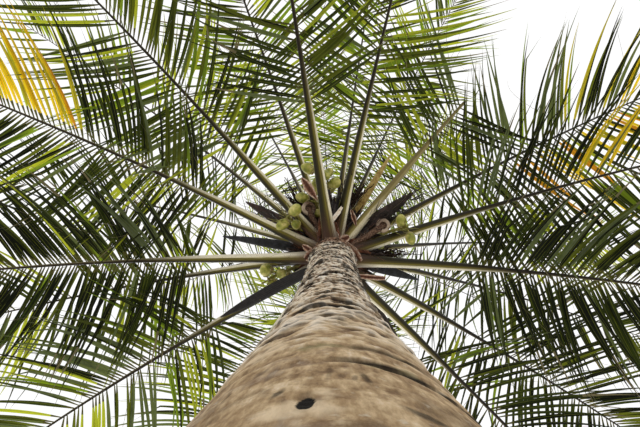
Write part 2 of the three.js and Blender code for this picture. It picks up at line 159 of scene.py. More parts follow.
def trunk_radius(z):
    bole = BOLE_SWELL / (1 + np.exp((z - BOLE_HEIGHT) / BOLE_BLEND))
    flare = ROOT_FLARE * np.exp(-z / ROOT_FLARE_HEIGHT)
    neck = NECK_SWELL * np.maximum(z - TRUNK_HEIGHT + NECK_HEIGHT, 0) / NECK_HEIGHT
    return TRUNK_RADIUS + bole + flare + neck


def direction(azimuth, rise=0.0):
    """The unit vector at an azimuth and a rise, in degrees."""
    turn, tilt = np.radians(azimuth), np.radians(rise)
    flat = np.cos(tilt)
    return np.stack([np.cos(turn) * flat, np.sin(turn) * flat, np.sin(tilt) + 0 * turn], axis=-1)


def round_axis(turn, across, z=0):
    """Points at turns in radians about the Z axis, at their distances from it."""
    return np.stack([np.cos(turn) * across, np.sin(turn) * across, z + 0 * turn], axis=-1)


def noise_at(points, *scales):
    """Smooth noise from about -1 to 1 at each point, with a coarseness in metres for each axis."""
    return np.array([noise.noise(point) for point in (points / np.array(scales)).tolist()])


def only(piece):
    """Makes a piece the active one and the only one selected."""
    bpy.ops.object.select_all(action="DESELECT")
    bpy.context.view_layer.objects.active = piece
    piece.select_set(True)


def deselect_faces(piece):
    """Goes into edit mode with nothing selected."""
    only(piece)
    bpy.ops.object.mode_set(mode="EDIT")
    bpy.ops.mesh.select_mode(type="EDGE")
    bpy.ops.mesh.select_all(action="DESELECT")


def cut_rows(piece, cuts):
    """Cuts the upright edges of a piece into rows, once for each number of cuts."""
    for number in cuts:
        deselect_faces(piece)
        form = bmesh.from_edit_mesh(piece.data)
        for edge in form.edges:
            low, high = sorted(corner.co.z for corner in edge.verts)
            edge.select_set(high - low > 1e-4)
        bmesh.update_edit_mesh(piece.data)
        bpy.ops.mesh.subdivide(number_cuts=number)
        bpy.ops.object.mode_set(mode="OBJECT")


def cylinder_in_rows(name, sides, radius, height, cuts=(), foot=0, ends="TRIFAN"):
    """An upright cylinder that stands on its foot, with its sides cut into rows."""
    bpy.ops.object.select_all(action="DESELECT")
    bpy.ops.mesh.primitive_cylinder_add(
        vertices=sides, radius=radius, depth=height, end_fill_type=ends, location=(0, 0, foot + height / 2)
    )
    piece = bpy.context.object
    piece.name = name
    bpy.ops.object.transform_apply(location=True, rotation=False, scale=False)
    cut_rows(piece, cuts)
    return piece


def points_of(piece):
    points = np.empty(3 * len(piece.data.vertices))
    piece.data.vertices.foreach_get("co", points)
    return points.reshape(-1, 3)


def move_points(piece, points):
    piece.data.vertices.foreach_set("co", points.ravel())
    piece.data.update()


def mark(piece, name, values):
    """Keeps one number for each point of a piece, for its material to read."""
    piece.data.attributes.new(name, "FLOAT", "POINT")
    piece.data.attributes[name].data.foreach_set("value", values)


def colour(code):
    """A linear colour with full alpha from an sRGB hex code."""
    parts = [int(code[i : i + 2], 16) / 255 for i in (1, 3, 5)]
    return [c / 12.92 if c <= 0.04045 else ((c + 0.055) / 1.055) ** 2.4 for c in parts] + [1.0]


def add_node(material, kind, inputs=(), stops=(), out=0, **settings):
    """Adds a node with its settings, its inputs, each a value or another node's output, and, on a ramp, its
    colour stops. It gives the output asked for."""
    made = material.node_tree.nodes.new("ShaderNode" + kind)
    for key, value in settings.items():
        setattr(made, key, value)
    for socket, value in dict(inputs).items():
        if isinstance(value, bpy.types.NodeSocket):
            material.node_tree.links.new(value, made.inputs[socket])
        else:
            made.inputs[socket].default_value = value
    for i, (place, code) in enumerate(stops):
        stop = made.color_ramp.elements[i] if i < 2 else made.color_ramp.elements.new(place)
        stop.position = place
        stop.color = colour(code)
    return made.outputs[out] if made.outputs else None


def new_material(name):
    """An empty material, and the place on the piece that its patterns follow."""
    material = bpy.data.materials.new(name)
    material.use_nodes = True
    material.node_tree.nodes.clear()
    return material, add_node(material, "TexCoord", out="Object")


def finish_material(material, inputs):
    """Ends a material with its surface."""
    add_node(material, "OutputMaterial", {"Surface": add_node(material, "BsdfPrincipled", inputs)})


def finish_piece(piece, material, slot, *nodes):
    """Gives a piece its material and its place in the frame."""
    if material is not None:
        piece.data.materials.clear()
        piece.data.materials.append(material)
    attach(piece, "root")
    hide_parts(*nodes)


# Weathered palm bark: dull all over, flaky and grey above, worn to mottled brown wood below and painted
# lighter over the middle of the stem where light falls on it, with painted shade in its scars, cracks and
# holes and under each lip, pale rubbed places, a little green algae, and the rust-brown fibre of old sheaths
# round the top.
bark, place = new_material("weathered_palm_bark")
height = add_node(bark, "SeparateXYZ", {0: place}, out="Z")
# The second attribute is painted shade, with the trunk's dark blotches in it
relief, painted_shade_and_blotches, pale, green = [
    add_node(bark, "Attribute", out="Fac", attribute_name=name)
    for name in ("relief", "painted_shade_and_blotches", "pale", "green")
]
# Upright fibres, 6 mm wide and 30 mm long
upright_way = add_node(bark, "Mapping", {"Vector": place, "Scale": (150, 150, 32)})
fibres = add_node(bark, "TexNoise", {"Vector": upright_way, "Scale": 1.0, "Detail": 4.0, "Roughness": 0.65})
# Level grain of the worn wood, 12 mm high and 60 mm long
level_way = add_node(bark, "Mapping", {"Vector": place, "Scale": (16, 16, 80)})
level = add_node(
    bark, "TexNoise",
    {"Vector": level_way, "Scale": 1.0, "Detail": 5.0, "Roughness": 0.6, "Distortion": 0.4},
)
# Patches 100 mm across
patches = add_node(bark, "TexNoise", {"Vector": place, "Scale": 10.0, "Detail": 5.0, "Roughness": 0.65})
flaky = add_node(bark, "Math", {0: fibres, 1: 0.45, 2: relief}, operation="MULTIPLY_ADD")
grey_skin = add_node(
    bark, "ValToRGB", {0: flaky},
    [(0.38, "#1b140e"), (1.0, "#fdf5e8"), (0.50, "#655140"), (0.66, "#b9a086"), (0.82, "#ecdcc4")],
)
# Low on the bole, mottling 10 mm wide and 30 mm high
blotch_way = add_node(bark, "Mapping", {"Vector": place, "Scale": (75, 75, 26)})
blotch = add_node(bark, "TexNoise", {"Vector": blotch_way, "Scale": 1.0, "Detail": 4.0, "Roughness": 0.6})
low_down = add_node(bark, "MapRange", {"Value": height, "From Min": 2.0, "From Max": 1.75})
streaked = add_node(bark, "Mix", {0: low_down, 2: level, 3: blotch})
mottled = add_node(bark, "Math", {0: streaked, 1: 0.62, 2: relief}, operation="MULTIPLY_ADD")
mottled = add_node(bark, "Math", {0: patches, 1: 0.40, 2: mottled}, operation="MULTIPLY_ADD")
mottled = add_node(bark, "MapRange", {"Value": mottled, "From Min": 0.72, "From Max": 1.28})
# Painted light: the worn wood is painted lighter from 1.72 m up to 2.10 m and above, as the sun falls on the
# middle of the stem
painted_light_by_height = add_node(
    bark, "MapRange", {"Value": height, "From Min": 1.72, "From Max": 2.10, "To Min": -0.06, "To Max": 0.19}
)
mottled = add_node(bark, "Math", {0: mottled, 1: painted_light_by_height})
worn_wood = add_node(
    bark, "ValToRGB", {0: mottled},
    [(0.0, "#3c2c22"), (1.0, "#f6e6d2"), (0.28, "#7c6248"), (0.50, "#ac906c"), (0.72, "#d6bc97")],
)
worn_height = add_node(bark, "MapRange", {"Value": height, "From Min": 2.95, "From Max": 2.05})
worn_patch = add_node(
    bark, "MapRange", {"Value": patches, "From Min": 0.38, "From Max": 0.62, "To Min": -0.4, "To Max": 0.4}
)
worn = add_node(bark, "Math", {0: worn_height, 1: worn_patch}, use_clamp=True)
skin = add_node(bark, "Mix", {0: worn, 6: grey_skin, 7: worn_wood}, out=2, data_type="RGBA")
# Brown stains 30 mm across, and pale flecks of lichen 10 mm across
stain = add_node(bark, "TexNoise", {"Vector": place, "Scale": 32.0, "Detail": 4.0, "Roughness": 0.7})
stain_share = add_node(bark, "MapRange", {"Value": stain, "From Min": 0.52, "From Max": 0.70, "To Max": 0.6})
fleck = add_node(bark, "TexNoise", {"Vector": place, "Scale": 60.0, "Detail": 3.0})
fleck_share = add_node(bark, "MapRange", {"Value": fleck, "From Min": 0.64, "From Max": 0.74, "To Max": 0.5})
rim_low, rim_high = TRUNK_HEIGHT - 0.8 * RIM_HEIGHT, TRUNK_HEIGHT - 0.5 * RIM_HEIGHT
rim_share = add_node(
    bark, "MapRange", {"Value": height, "From Min": rim_low, "From Max": rim_high, "To Max": 0.85}
)
rust = add_node(bark, "ValToRGB", {0: fibres}, [(0.36, "#3a2015"), (0.64, "#b58a66"), (0.5, "#7d4f36")])
# Holes and splits: soft-edged spots of painted shade, each set on the bark at its own place
broken_edge = add_node(bark, "TexNoise", {"Vector": place, "Scale": 90.0, "Detail": 2.0})
bark_painted_shade = painted_shade_and_blotches
for azimuth, spot_height, half_width, half_height, _, lean, darkness in HOLES:
    spot = stem_centre(spot_height) + trunk_radius(spot_height) * direction(azimuth)
    turned = (0, math.radians(lean), math.radians(azimuth + 90))
    size = (half_width, 0.05, half_height)
    near = add_node(
        bark, "Mapping", {"Vector": place, "Location": spot.tolist(), "Rotation": turned, "Scale": size},
        vector_type="TEXTURE",
    )
    off = add_node(bark, "VectorMath", {0: near}, out="Value", operation="LENGTH")
    off = add_node(bark, "Math", {0: broken_edge, 1: 0.9, 2: off}, operation="MULTIPLY_ADD")
    soft = 0.12 if darkness > 0.9 else 0.45
    inside = add_node(
        bark, "MapRange", {"Value": off, "From Min": 1.5 + soft, "From Max": 1.5 - soft, "To Max": darkness}
    )
    bark_painted_shade = add_node(bark, "Math", {0: bark_painted_shade, 1: inside}, operation="MAXIMUM")
# The last of these mixes paints the shade of the holes, scars, cracks and downward facets nearly black
for share, tint in (
    (stain_share, colour("#6d4f37")), (fleck_share, colour("#e3d8c4")), (green, colour("#7c7a52")),
    (pale, colour("#ecd6b6")), (rim_share, rust), (bark_painted_shade, colour("#0d0805")),
):
    skin = add_node(bark, "Mix", {0: share, 6: skin, 7: tint}, out=2, data_type="RGBA")
both = add_node(bark, "Math", {0: level, 1: 0.6, 2: fibres}, operation="MULTIPLY_ADD")
bump = add_node(bark, "Bump", {"Height": both, "Strength": 0.8, "Distance": 0.005})
finish_material(
    bark, {"Base Color": skin, "Normal": bump, "Roughness": 0.88, "IOR": 1.45, "Specular IOR Level": 0.3}
)

trunk = cylinder_in_rows("trunk_stem", TRUNK_SIDES, TRUNK_RADIUS, TRUNK_HEIGHT, ROW_CUTS, ends="NGON")
random = np.random.default_rng(11)
scars = np.cumsum(SCAR_SPACING * random.uniform(0.65, 1.4, int(1.4 * TRUNK_HEIGHT / SCAR_SPACING)))
straight = points_of(trunk)
turn = np.arctan2(straight[:, 1], straight[:, 0])
z = straight[:, 2]
radius = trunk_radius(z)
upright = round_axis(turn, radius, z)
tilt = 0.012 * np.sin(turn + 1.7 * z)
wander = SCAR_WANDER * noise_at(upright, 0.13, 0.13, 0.2) + 0.008 * noise_at(upright, 0.04, 0.04, 0.05)
ringed = z + tilt + wander
above = np.searchsorted(scars, ringed)
under = np.concatenate([[0], scars])[above]
climb = (ringed - under) / (scars[above] - under)
broken = np.clip(0.55 + 1.3 * noise_at(upright + 3.1, 0.05, 0.05, 0.04), 0, 1)
shaggy = 1 / (1 + np.exp((SHAGGY_HEIGHT - z + 6 * wander) / SHAGGY_BLEND))
lip = broken * (1 - climb) ** 1.5
cut = broken * np.exp(-(((scars[above] - ringed) / SCAR_WIDTH) ** 2)) * mix(0.12, 1.0, shaggy)
flake = noise_at(upright + 5.9, 0.018, 0.018, 0.026) + 0.9 * noise_at(upright + 9.3, 0.009, 0.009, 0.015)
ridge = noise_at(upright + 1.3, 0.05, 0.05, 0.020) + 0.6 * noise_at(upright + 2.7, 0.022, 0.022, 0.012)
lumps = BARK_LUMP * noise_at(upright + 7.7, 0.07, 0.07, 0.05)
rough = np.clip((z - SMOOTH_HEIGHT) / 0.4, 0.12, 1)
outward = lumps * rough + SCAR_DEPTH * lip * mix(0.10, 1, shaggy) - 0.004 * cut
outward += FLAKE_DEPTH * flake * shaggy + RIDGE_DEPTH * ridge * rough * (1 - shaggy)
# The scar lines are painted darker as shade
tone = 0.53 + 0.32 * np.tanh(2 * flake) * shaggy + 0.72 * ridge * rough * (1 - shaggy) - 0.38 * cut
degrees_round = np.degrees(turn)
wavy = z + 0.5 * wander
crack_shade = np.zeros_like(z)


def degrees_from(azimuth):
    """How far round the stem each point is from an azimuth."""
    return (degrees_round - azimuth + 180) % 360 - 180


for crack_height, first, last, depth, half, climb_along in CRACKS:
    middle, reach = (first + last) / 2, (last - first) / 2
    off = degrees_from(middle)
    ends = np.clip((reach - np.abs(off)) / 10, 0, 1)
    over_crack = (wavy - crack_height - climb_along * off / (2 * reach)) / half
    outward -= depth * ends * np.exp(-(over_crack**2))
    shade = ends * min(1, depth / 0.02) * np.exp(-((over_crack - 0.7) ** 2))
    crack_shade = np.maximum(crack_shade, shade)
for azimuth, hole_height, half_width, half_height, depth, _, _ in HOLES:
    off = np.radians(degrees_from(azimuth)) * radius
    outward -= depth * np.clip(1.6 - np.hypot(off / half_width, (z - hole_height) / half_height), 0, 1)
sprayed = {kind: np.zeros_like(z) for kind in ("pale", "green", "dark")}
uneven = 1.3 * noise_at(upright + 4.4, 0.03, 0.03, 0.03) + 0.9 * noise_at(upright + 8.4, 0.011, 0.011, 0.02)
for azimuth, spot_height, half_width, half_height, kind in BLOTCHES:
    off = np.radians(degrees_from(azimuth)) * radius
    distance = np.hypot(off / half_width, (z - spot_height) / half_height)
    sprayed[kind] = np.maximum(sprayed[kind], np.clip(1.2 * (1.05 + uneven - distance), 0, 0.62))
ragged = 0.035 * noise_at(upright + 6.1, 0.03, 0.03, 0.1)
rim = np.clip((z + ragged - TRUNK_HEIGHT + RIM_HEIGHT) / 0.03, 0, 1)
outward += rim * (0.006 + 0.005 * noise_at(upright, 0.012, 0.012, 0.05))
# Painted shade darkens each lip, flake and ridge where the bark faces down, and the scar lines and the upper
# walls of the cracks
column = np.round(degrees_round * TRUNK_SIDES / 360).astype(int) % TRUNK_SIDES
in_columns = np.lexsort((z, column)).reshape(TRUNK_SIDES, -1)
slope = np.gradient(outward[in_columns], axis=1) / (TRUNK_HEIGHT / (in_columns.shape[1] - 1))
dark = np.zeros_like(z)
dark[in_columns] = np.clip(2.0 * slope - 0.18, 0, 0.94)
dark = np.maximum(dark, np.clip(np.maximum(1.3 * crack_shade, 0.6 * cut), 0, 1))
outward *= np.clip(z / 0.03, 0, 1)  # nothing breaks the flat cut at the ground
stem = stem_centre(z) + round_axis(turn, radius + outward)
stem[np.hypot(straight[:, 0], straight[:, 1]) < 1e-6] = 0
move_points(trunk, stem)
mark(trunk, "relief", tone)
# Painted shade under the lips, in the scars and cracks, with the dark blotches
mark(trunk, "painted_shade_and_blotches", np.maximum(dark, 0.4 * sprayed["dark"]))
mark(trunk, "pale", sprayed["pale"])
mark(trunk, "green", 0.8 * sprayed["green"])
bpy.ops.object.shade_smooth_by_angle(angle=math.radians(70))
finish_piece(trunk, bark, "bark", "trunk")


# Heart
# The hidden tip of the stem, wrapped in the clasping feet of the leaves and in the rust-brown cloth of fibre
# that joins them. A ridged cone, with torn mats and loose fibres from each leaf foot back to it.
HEART_HEIGHT = 0.64
HEART_RADIUS = 0.126
HEART_TIP_RADIUS = 0.042
HEART_TAPER_POWER = 1.3
HEART_SIDES = 64
HEART_CUTS = (70,)
HEART_RIDGES = 0.006
ROOT_DEPTH = 0.022
FROND_AZIMUTHS = [
    -99, 7, 176, 46, 147, -157, -14, -134, -76, 33, 167, -46, -24, -110, 123, 56, 19, -146, -172, -80, 5,
    98, -60, 78, -122, 28, 156, -30, 112, -92,
]  # oldest and lowest first
YOUNGEST = len(FROND_AZIMUTHS) - 1
LOWEST_BASE = 0.055
BASE_STEP = 0.0155
OLD_RISE, YOUNG_RISE, RISE_POWER = 22, 78, 1.7
MAT_REACHES = (0.24, 0.12)  # out from the oldest leaf foot and from the youngest
MAT_THICKNESS = 0.002
MAT_COLUMNS = 9
MAT_ROWS = 7
FIBRES_A_MAT = 12


def heart_radius(share):
    return mix(HEART_RADIUS, HEART_TIP_RADIUS, np.minimum(share, 1) ** HEART_TAPER_POWER)


def leaf_rise(age):
    return mix(OLD_RISE, YOUNG_RISE, (age / YOUNGEST) ** RISE_POWER)


# Old leaf-sheath fibre: a matt rust-brown cloth of crossed strands, darker where it is older, and darkened
# with painted shade where the webs reach out into the crown.
fibre, place = new_material("leaf_sheath_fibre")
# Strands 3 mm wide; real ones are 1 mm, too fine to show
strand = add_node(fibre, "TexNoise", {"Vector": place, "Scale": 160.0, "Detail": 3.0, "Distortion": 1.2})
age_patch = add_node(fibre, "TexNoise", {"Vector": place, "Scale": 14.0, "Detail": 3.0})
both = add_node(fibre, "Mix", {0: 0.5, 2: strand, 3: age_patch})
tone = add_node(
    fibre, "ValToRGB", {0: both},
    [(0.38, "#22130c"), (0.68, "#b58a68"), (0.48, "#5a3322"), (0.58, "#86543a")],
)
# Painted shade, on the webs only, darker further out from the stem
web_painted_shade = add_node(fibre, "Attribute", out="Fac", attribute_name="web_painted_shade")
tone = add_node(fibre, "Mix", {0: web_painted_shade, 6: tone, 7: colour("#130b09")}, out=2, data_type="RGBA")
bump = add_node(fibre, "Bump", {"Height": strand, "Strength": 0.7, "Distance": 0.003})
finish_material(
    fibre,
    {"Base Color": tone, "Normal": bump, "Roughness": 0.95, "Specular IOR Level": 0.2, "Sheen Weight": 0.15},
)

heart = cylinder_in_rows(
    "heart_core", HEART_SIDES, HEART_RADIUS, HEART_HEIGHT, HEART_CUTS, foot=TRUNK_HEIGHT
)
straight = points_of(heart)
turn = np.arctan2(straight[:, 1], straight[:, 0])
share = (straight[:, 2] - TRUNK_HEIGHT) / HEART_HEIGHT
ridges = HEART_RIDGES * np.abs(np.sin(2.5 * turn + 9 * share)) + 0.003 * noise_at(straight, 0.02, 0.02, 0.05)
rounded = np.hypot(straight[:, 0], straight[:, 1]) / HEART_RADIUS
across = rounded * (heart_radius(share) + ridges - 0.004)
move_points(heart, stem_centre(straight[:, 2]) + round_axis(turn, across))
bpy.ops.object.shade_smooth_by_angle(angle=math.radians(60))
finish_piece(heart, fibre, "fibre", "heart")


def piece_from(name, points, faces, looks=None):
    """A joined piece from arrays of points and faces, with a material number for each face."""
    mesh = bpy.data.meshes.new(name)
    mesh.from_pydata(points.tolist(), [], faces.tolist())
    if looks is not None:
        mesh.polygons.foreach_set("material_index", looks)
    piece = bpy.data.objects.new(name, mesh)
    bpy.context.collection.objects.link(piece)
    only(piece)
    bpy.ops.object.shade_smooth()
    return piece


def apply_modifier(piece, kind, **settings):
    """Gives the active piece a modifier with its settings and applies it."""
    bpy.ops.object.modifier_add(type=kind)
    for key, value in settings.items():
        setattr(piece.modifiers[0], key, value)
    bpy.ops.object.modifier_apply(modifier=piece.modifiers[0].name)


def grid_faces(rows, columns, closed=False):
    """Four-cornered faces over rows and columns of points, closed round the columns or open."""
    last = columns if closed else columns - 1
    row, column = np.meshgrid(np.arange(rows - 1), np.arange(last), indexing="ij")
    after = (column + 1) % columns
    corners = [row * columns + column, row * columns + after, (row + 1) * columns + after]
    corners.append((row + 1) * columns + column)
    return np.stack(corners, axis=-1).reshape(-1, 4)


def join_parts(parts):
    """One array of points and one of faces, from a list of pairs of them."""
    starts = np.cumsum([0] + [len(points) for points, _ in parts[:-1]])
    points = np.concatenate([points for points, _ in parts])
    faces = np.concatenate([faces + start for (_, faces), start in zip(parts, starts)])
    return points, faces


def unit(vectors):
    return vectors / np.linalg.norm(vectors, axis=-1)[..., None]


def tube(spine, radii):
    """A closed four-sided tube along a spine."""
    along = unit(np.gradient(spine, axis=0))
    helper = np.array([0.0, 0.0, 1.0]) if abs(along[0, 2]) < 0.9 else np.array([1.0, 0.0, 0.0])
    side = unit(np.cross(along, helper))
    top = np.cross(side, along)
    ring = np.stack([side, top, -side, -top], axis=1)
    points = (spine[:, None, :] + np.asarray(radii)[:, None, None] * ring).reshape(-1, 3)
    last = 4 * (len(spine) - 1)
    ends = np.array([[3, 2, 1, 0], [last, last + 1, last + 2, last + 3]])
    return points, np.concatenate([grid_faces(len(spine), 4, closed=True), ends])


random = np.random.default_rng(23)
mats = []
strands = []
column, row = np.meshgrid(np.linspace(0, 1, MAT_COLUMNS), np.linspace(0, 1, MAT_ROWS))
for age, azimuth in enumerate(FROND_AZIMUTHS):
    foot_height = TRUNK_HEIGHT + LOWEST_BASE + BASE_STEP * age
    foot_centre = stem_centre(foot_height)
    surface = heart_radius((foot_height - TRUNK_HEIGHT) / HEART_HEIGHT)
    for hand in (-1, 1):
        reach = mix(*MAT_REACHES, age / YOUNGEST) * random.uniform(0.6, 1.2)
        torn = 1 - 0.45 * random.random(MAT_COLUMNS)[None, :] * np.ones_like(row) * row
        out = row * torn
        side = direction(azimuth + 90 * hand)
        margin = foot_centre + direction(azimuth, leaf_rise(age)) * (surface - 0.03 + reach * out)[..., None]
        margin = margin + side * (0.052 - 0.015 * out)[..., None] + np.array([0, 0, 0.008])
        swung = azimuth + hand * (34 + 10 * random.random() + 8 * out)
        back_height = foot_height + 0.015 + 0.10 * out
        back_radius = heart_radius((back_height - TRUNK_HEIGHT) / HEART_HEIGHT) + 0.004
        back = stem_centre(back_height) + direction(swung) * back_radius[..., None]
        mat = margin + (back - margin) * column[..., None]
        belly = 0.022 * np.sin(math.pi * column) * (0.4 + out)
        mat = mat + direction(azimuth + 30 * hand) * belly[..., None]
        wrinkle = 0.006 * random.standard_normal(mat.shape) * (row * column * (1 - column) * 4)[..., None]
        mats.append(((mat + wrinkle).reshape(-1, 3), grid_faces(MAT_ROWS, MAT_COLUMNS)))
        for _ in range(FIBRES_A_MAT):
            start = mat[-1 - random.integers(0, 4), random.integers(0, MAT_COLUMNS)]
            heading = direction(azimuth + random.uniform(-50, 50), random.uniform(-35, 45))
            length = random.uniform(0.05, 0.19)
            curl = 0.03 * random.standard_normal(3)
            share = np.linspace(0, 1, 6)[:, None]
            sagged = np.array([0, 0, -0.35 * length]) * share**2
            spine = start + heading * length * share + curl * share**2 + sagged
            strands.append(tube(spine, random.uniform(0.0008, 0.0019) * np.linspace(1, 0.2, 6)))
sheath_mats = piece_from("sheath_mats", *join_parts(mats))
apply_modifier(sheath_mats, "SOLIDIFY", thickness=MAT_THICKNESS)
finish_piece(sheath_mats, fibre, "fibre", "heart")
sheath_strands = piece_from("sheath_strands", *join_parts(strands))
finish_piece(sheath_strands, fibre, "fibre", "heart")

# Webs of the same cloth still fill the gaps between neighbouring low leaf feet, in torn layers, rust-brown at
# the stem and darkened further out with painted shade. Each stands between two fronds of the list and reaches
# so far.
WEBS = [
    (5, 7, 0.34), (7, 13, 0.33), (13, 0, 0.36), (0, 8, 0.42), (8, 11, 0.40), (11, 6, 0.36), (6, 1, 0.34),
    (1, 9, 0.38), (9, 3, 0.30), (4, 10, 0.28), (10, 2, 0.28), (2, 5, 0.26), (3, 14, 0.22), (14, 4, 0.24),
]
WEB_LAYERS = 5
WEB_THICKNESS = 0.0016
STALK_EDGE = 0.036  # from the middle line of a low leaf stalk to its edge
WEB_ROWS, WEB_COLUMNS = 12, 15


def beside_stalk(age, hand, out):
    """Points along the edge of a low leaf stalk, at distances from its foot."""
    height = TRUNK_HEIGHT + LOWEST_BASE + BASE_STEP * age
    out = out + (heart_radius((height - TRUNK_HEIGHT) / HEART_HEIGHT) - 0.02)
    middle = stem_centre(height) + direction(FROND_AZIMUTHS[age], leaf_rise(age)) * out[..., None]
    return middle + direction(FROND_AZIMUTHS[age] + 90 * hand) * STALK_EDGE - np.array([0, 0, 0.004])


random = np.random.default_rng(31)
webs = []
web_painted_shade = []
column, row = np.meshgrid(np.linspace(0, 1, WEB_COLUMNS), np.linspace(0, 1, WEB_ROWS))
for first, second, reach in WEBS:
    for layer in range(WEB_LAYERS):
        torn = random.uniform(0.05, 0.50, WEB_COLUMNS)[None, :]
        frayed = 1 - torn * (0.4 + 0.6 * np.sin(math.pi * column[:1])) * row
        out = reach * mix(0.75, 1.1, random.random()) * row * frayed
        left, right = beside_stalk(first, 1, out), beside_stalk(second, -1, out)
        web = left + (right - left) * column[..., None]
        slack = 0.035 * np.sin(math.pi * column) * (0.3 + row) * (layer - 1.2)
        web = web + slack[..., None] * np.array([0, 0, 0.8])
        web += 0.007 * random.standard_normal(web.shape) * (row * np.sin(math.pi * column))[..., None]
        webs.append((web.reshape(-1, 3), grid_faces(WEB_ROWS, WEB_COLUMNS)))
        uneven = 0.12 * random.standard_normal(out.shape)
        # Painted shade, growing with the distance from the stem
        web_painted_shade.append(np.clip(1.1 * (out / 0.12) - 0.20 + uneven, 0, 0.93).ravel())
sheath_webs = piece_from("sheath_webs", *join_parts(webs))
mark(sheath_webs, "web_painted_shade", np.concatenate(web_painted_shade))
apply_modifier(sheath_webs, "SOLIDIFY", thickness=WEB_THICKNESS)
finish_piece(sheath_webs, fibre, "fibre", "heart")

# Torn strips of sheath that lean from one leaf foot to the next: azimuth, distance from the stem's centre
# line and height above the trunk of one end and of the other, breadth, how pointed, how far bleached; on the
# palest strip this is also painted sunlight
SCRAPS = [
    (-105, 0.410, 0.185, -112, 0.600, 0.300, 0.066, 1.0, 0.30),
    (-101, 0.215, 0.070, -79, 0.350, 0.245, 0.030, 0.4, 1.00),
    (-50, 0.270, 0.270, -67, 0.350, 0.315, 0.034, 0.8, 0.22),
    (-58, 0.110, 0.085, -97, 0.200, 0.150, 0.060, 0.8, 0.32),
    (-52, 0.120, 0.090, 9, 0.190, 0.070, 0.100, 0.5, 0.22),
    (36, 0.210, 0.080, 22, 0.400, 0.125, 0.036, 0.2, 0.30),
    (-163, 0.125, 0.065, -158, 0.225, 0.120, 0.045, 0.8, 0.30),
    (-150, 0.120, 0.075, 178, 0.190, 0.080, 0.070, 0.6, 0.22),
    (-74, 0.115, 0.090, -52, 0.185, 0.110, 0.060, 0.7, 0.28),
    (120, 0.130, 0.080, 105, 0.260, 0.150, 0.050, 0.8, 0.40),
    (60, 0.130, 0.090, 78, 0.240, 0.160, 0.046, 0.8, 0.25),
]
SCRAP_ROWS, SCRAP_COLUMNS = 20, 7
SCRAP_THICKNESS = 0.003

# Torn leaf sheath: papery and mottled, rust-brown where fresh and cream where the sun has bleached it, and
# near white with painted sunlight on the palest strip.
torn_sheath, place = new_material("torn_leaf_sheath")
bleach_and_sunlight = add_node(torn_sheath, "Attribute", out="Fac", attribute_name="bleach_and_sunlight")
# Mottling 15 mm across
mottle = add_node(torn_sheath, "TexNoise", {"Vector": place, "Scale": 70.0, "Detail": 4.0})
shifted = add_node(torn_sheath, "Math", {0: mottle, 1: 0.5, 2: bleach_and_sunlight}, operation="MULTIPLY_ADD")
tone = add_node(
    torn_sheath, "ValToRGB", {0: shifted},
    [(0.20, "#2a1710"), (1.0, "#fffdf8"), (0.42, "#6b4232"), (0.60, "#a67d66"), (0.78, "#efdfcc")],
)
finish_material(torn_sheath, {"Base Color": tone, "Roughness": 0.8, "Specular IOR Level": 0.3})

scraps = []
bleach_and_sunlight = []
column, row = np.meshgrid(np.linspace(-1, 1, SCRAP_COLUMNS), np.linspace(0, 1, SCRAP_ROWS))
for azimuth, distance, height, far_azimuth, far_distance, far_height, breadth, pointed, paleness in SCRAPS:
    begin = stem_centre(TRUNK_HEIGHT + height) + direction(azimuth) * distance
    end = stem_centre(TRUNK_HEIGHT + far_height) + direction(far_azimuth) * far_distance
    along = unit(end - begin)
    side = unit(np.cross(along, [0, 0, 1.0]))
    under = np.cross(side, along)
    wide = breadth / 2 * mix(1, np.sin(math.pi * np.clip(row, 0.02, 0.98)) ** 0.8, pointed)
    spots = np.stack([column, 5 * row, 0 * row + azimuth], axis=-1).reshape(-1, 3)
    wide = wide * (1 + 0.25 * noise_at(spots, 1, 1, 1).reshape(row.shape) * np.abs(column))
    cupped = 0.45 * wide * column**2 + 0.010 * np.sin(math.pi * row)
    scrap = begin + (end - begin) * row[..., None] + side * (wide * column)[..., None]
    scrap = scrap - under * cupped[..., None]
    scraps.append((scrap.reshape(-1, 3), grid_faces(SCRAP_ROWS, SCRAP_COLUMNS)))
    edge = 0.35 * (np.abs(column) > 0.6) * (1 - paleness)
    # Bleaching, and on the palest strip painted sunlight, with cream edges on the browner strips
    bleach_and_sunlight.append((0.62 * paleness + edge - 0.12 * (1 - np.abs(column))).ravel())
sheath_scraps = piece_from("sheath_scraps", *join_parts(scraps))
mark(sheath_scraps, "bleach_and_sunlight", np.concatenate(bleach_and_sunlight))
apply_modifier(sheath_scraps, "SOLIDIFY", thickness=SCRAP_THICKNESS)
bpy.ops.object.shade_smooth_by_angle(angle=math.radians(60))
finish_piece(sheath_scraps, torn_sheath, "fibre", "heart")


# Fronds
# Thirty feather leaves, each on a tough olive stalk with cream edges that clasps the heart, narrows into a
# rib and droops. The stalk is modelled once, straight, and each copy is bent along its own rib, oldest first.
BROKEN_FROND = 11  # its end has snapped off
BROKEN_SHARE = 0.41
FADING = 0.38  # how far its stalk has turned straw yellow
FROND_LENGTH = 4.4
YOUNG_SHORTFALL = 0.2
PETIOLE_LENGTH = 1.08
OLD_DROOP, YOUNG_DROOP, DROOP_POWER = 60, 44, 1.5
PATH_STEPS = 40
FOOT_WIDTH = 0.118
FOOT_SHARE = 0.035
STALK_WIDTH = 0.084
STALK_DEPTH = 0.05
YOUNG_STALK = 0.72
TIP_WIDTH = 0.009
RIB_TAPER_POWER = 0.8
RIB_SLIMNESS = 0.6  # of the solid's width, where the stalk becomes the rib
STALK_SIDES = 16
STALK_CUTS = (90,)
STALK_EDGE_HEIGHT = 0.3  # of the depth, where the sharp edges are
STALK_HOLLOW = 0.14  # of the depth, down the middle of the top
STALK_ROLL = 17  # degrees that each stalk is turned on its own line, as the leaves come round the stem
ROLL, ROLL_STEP = 16, 2.4
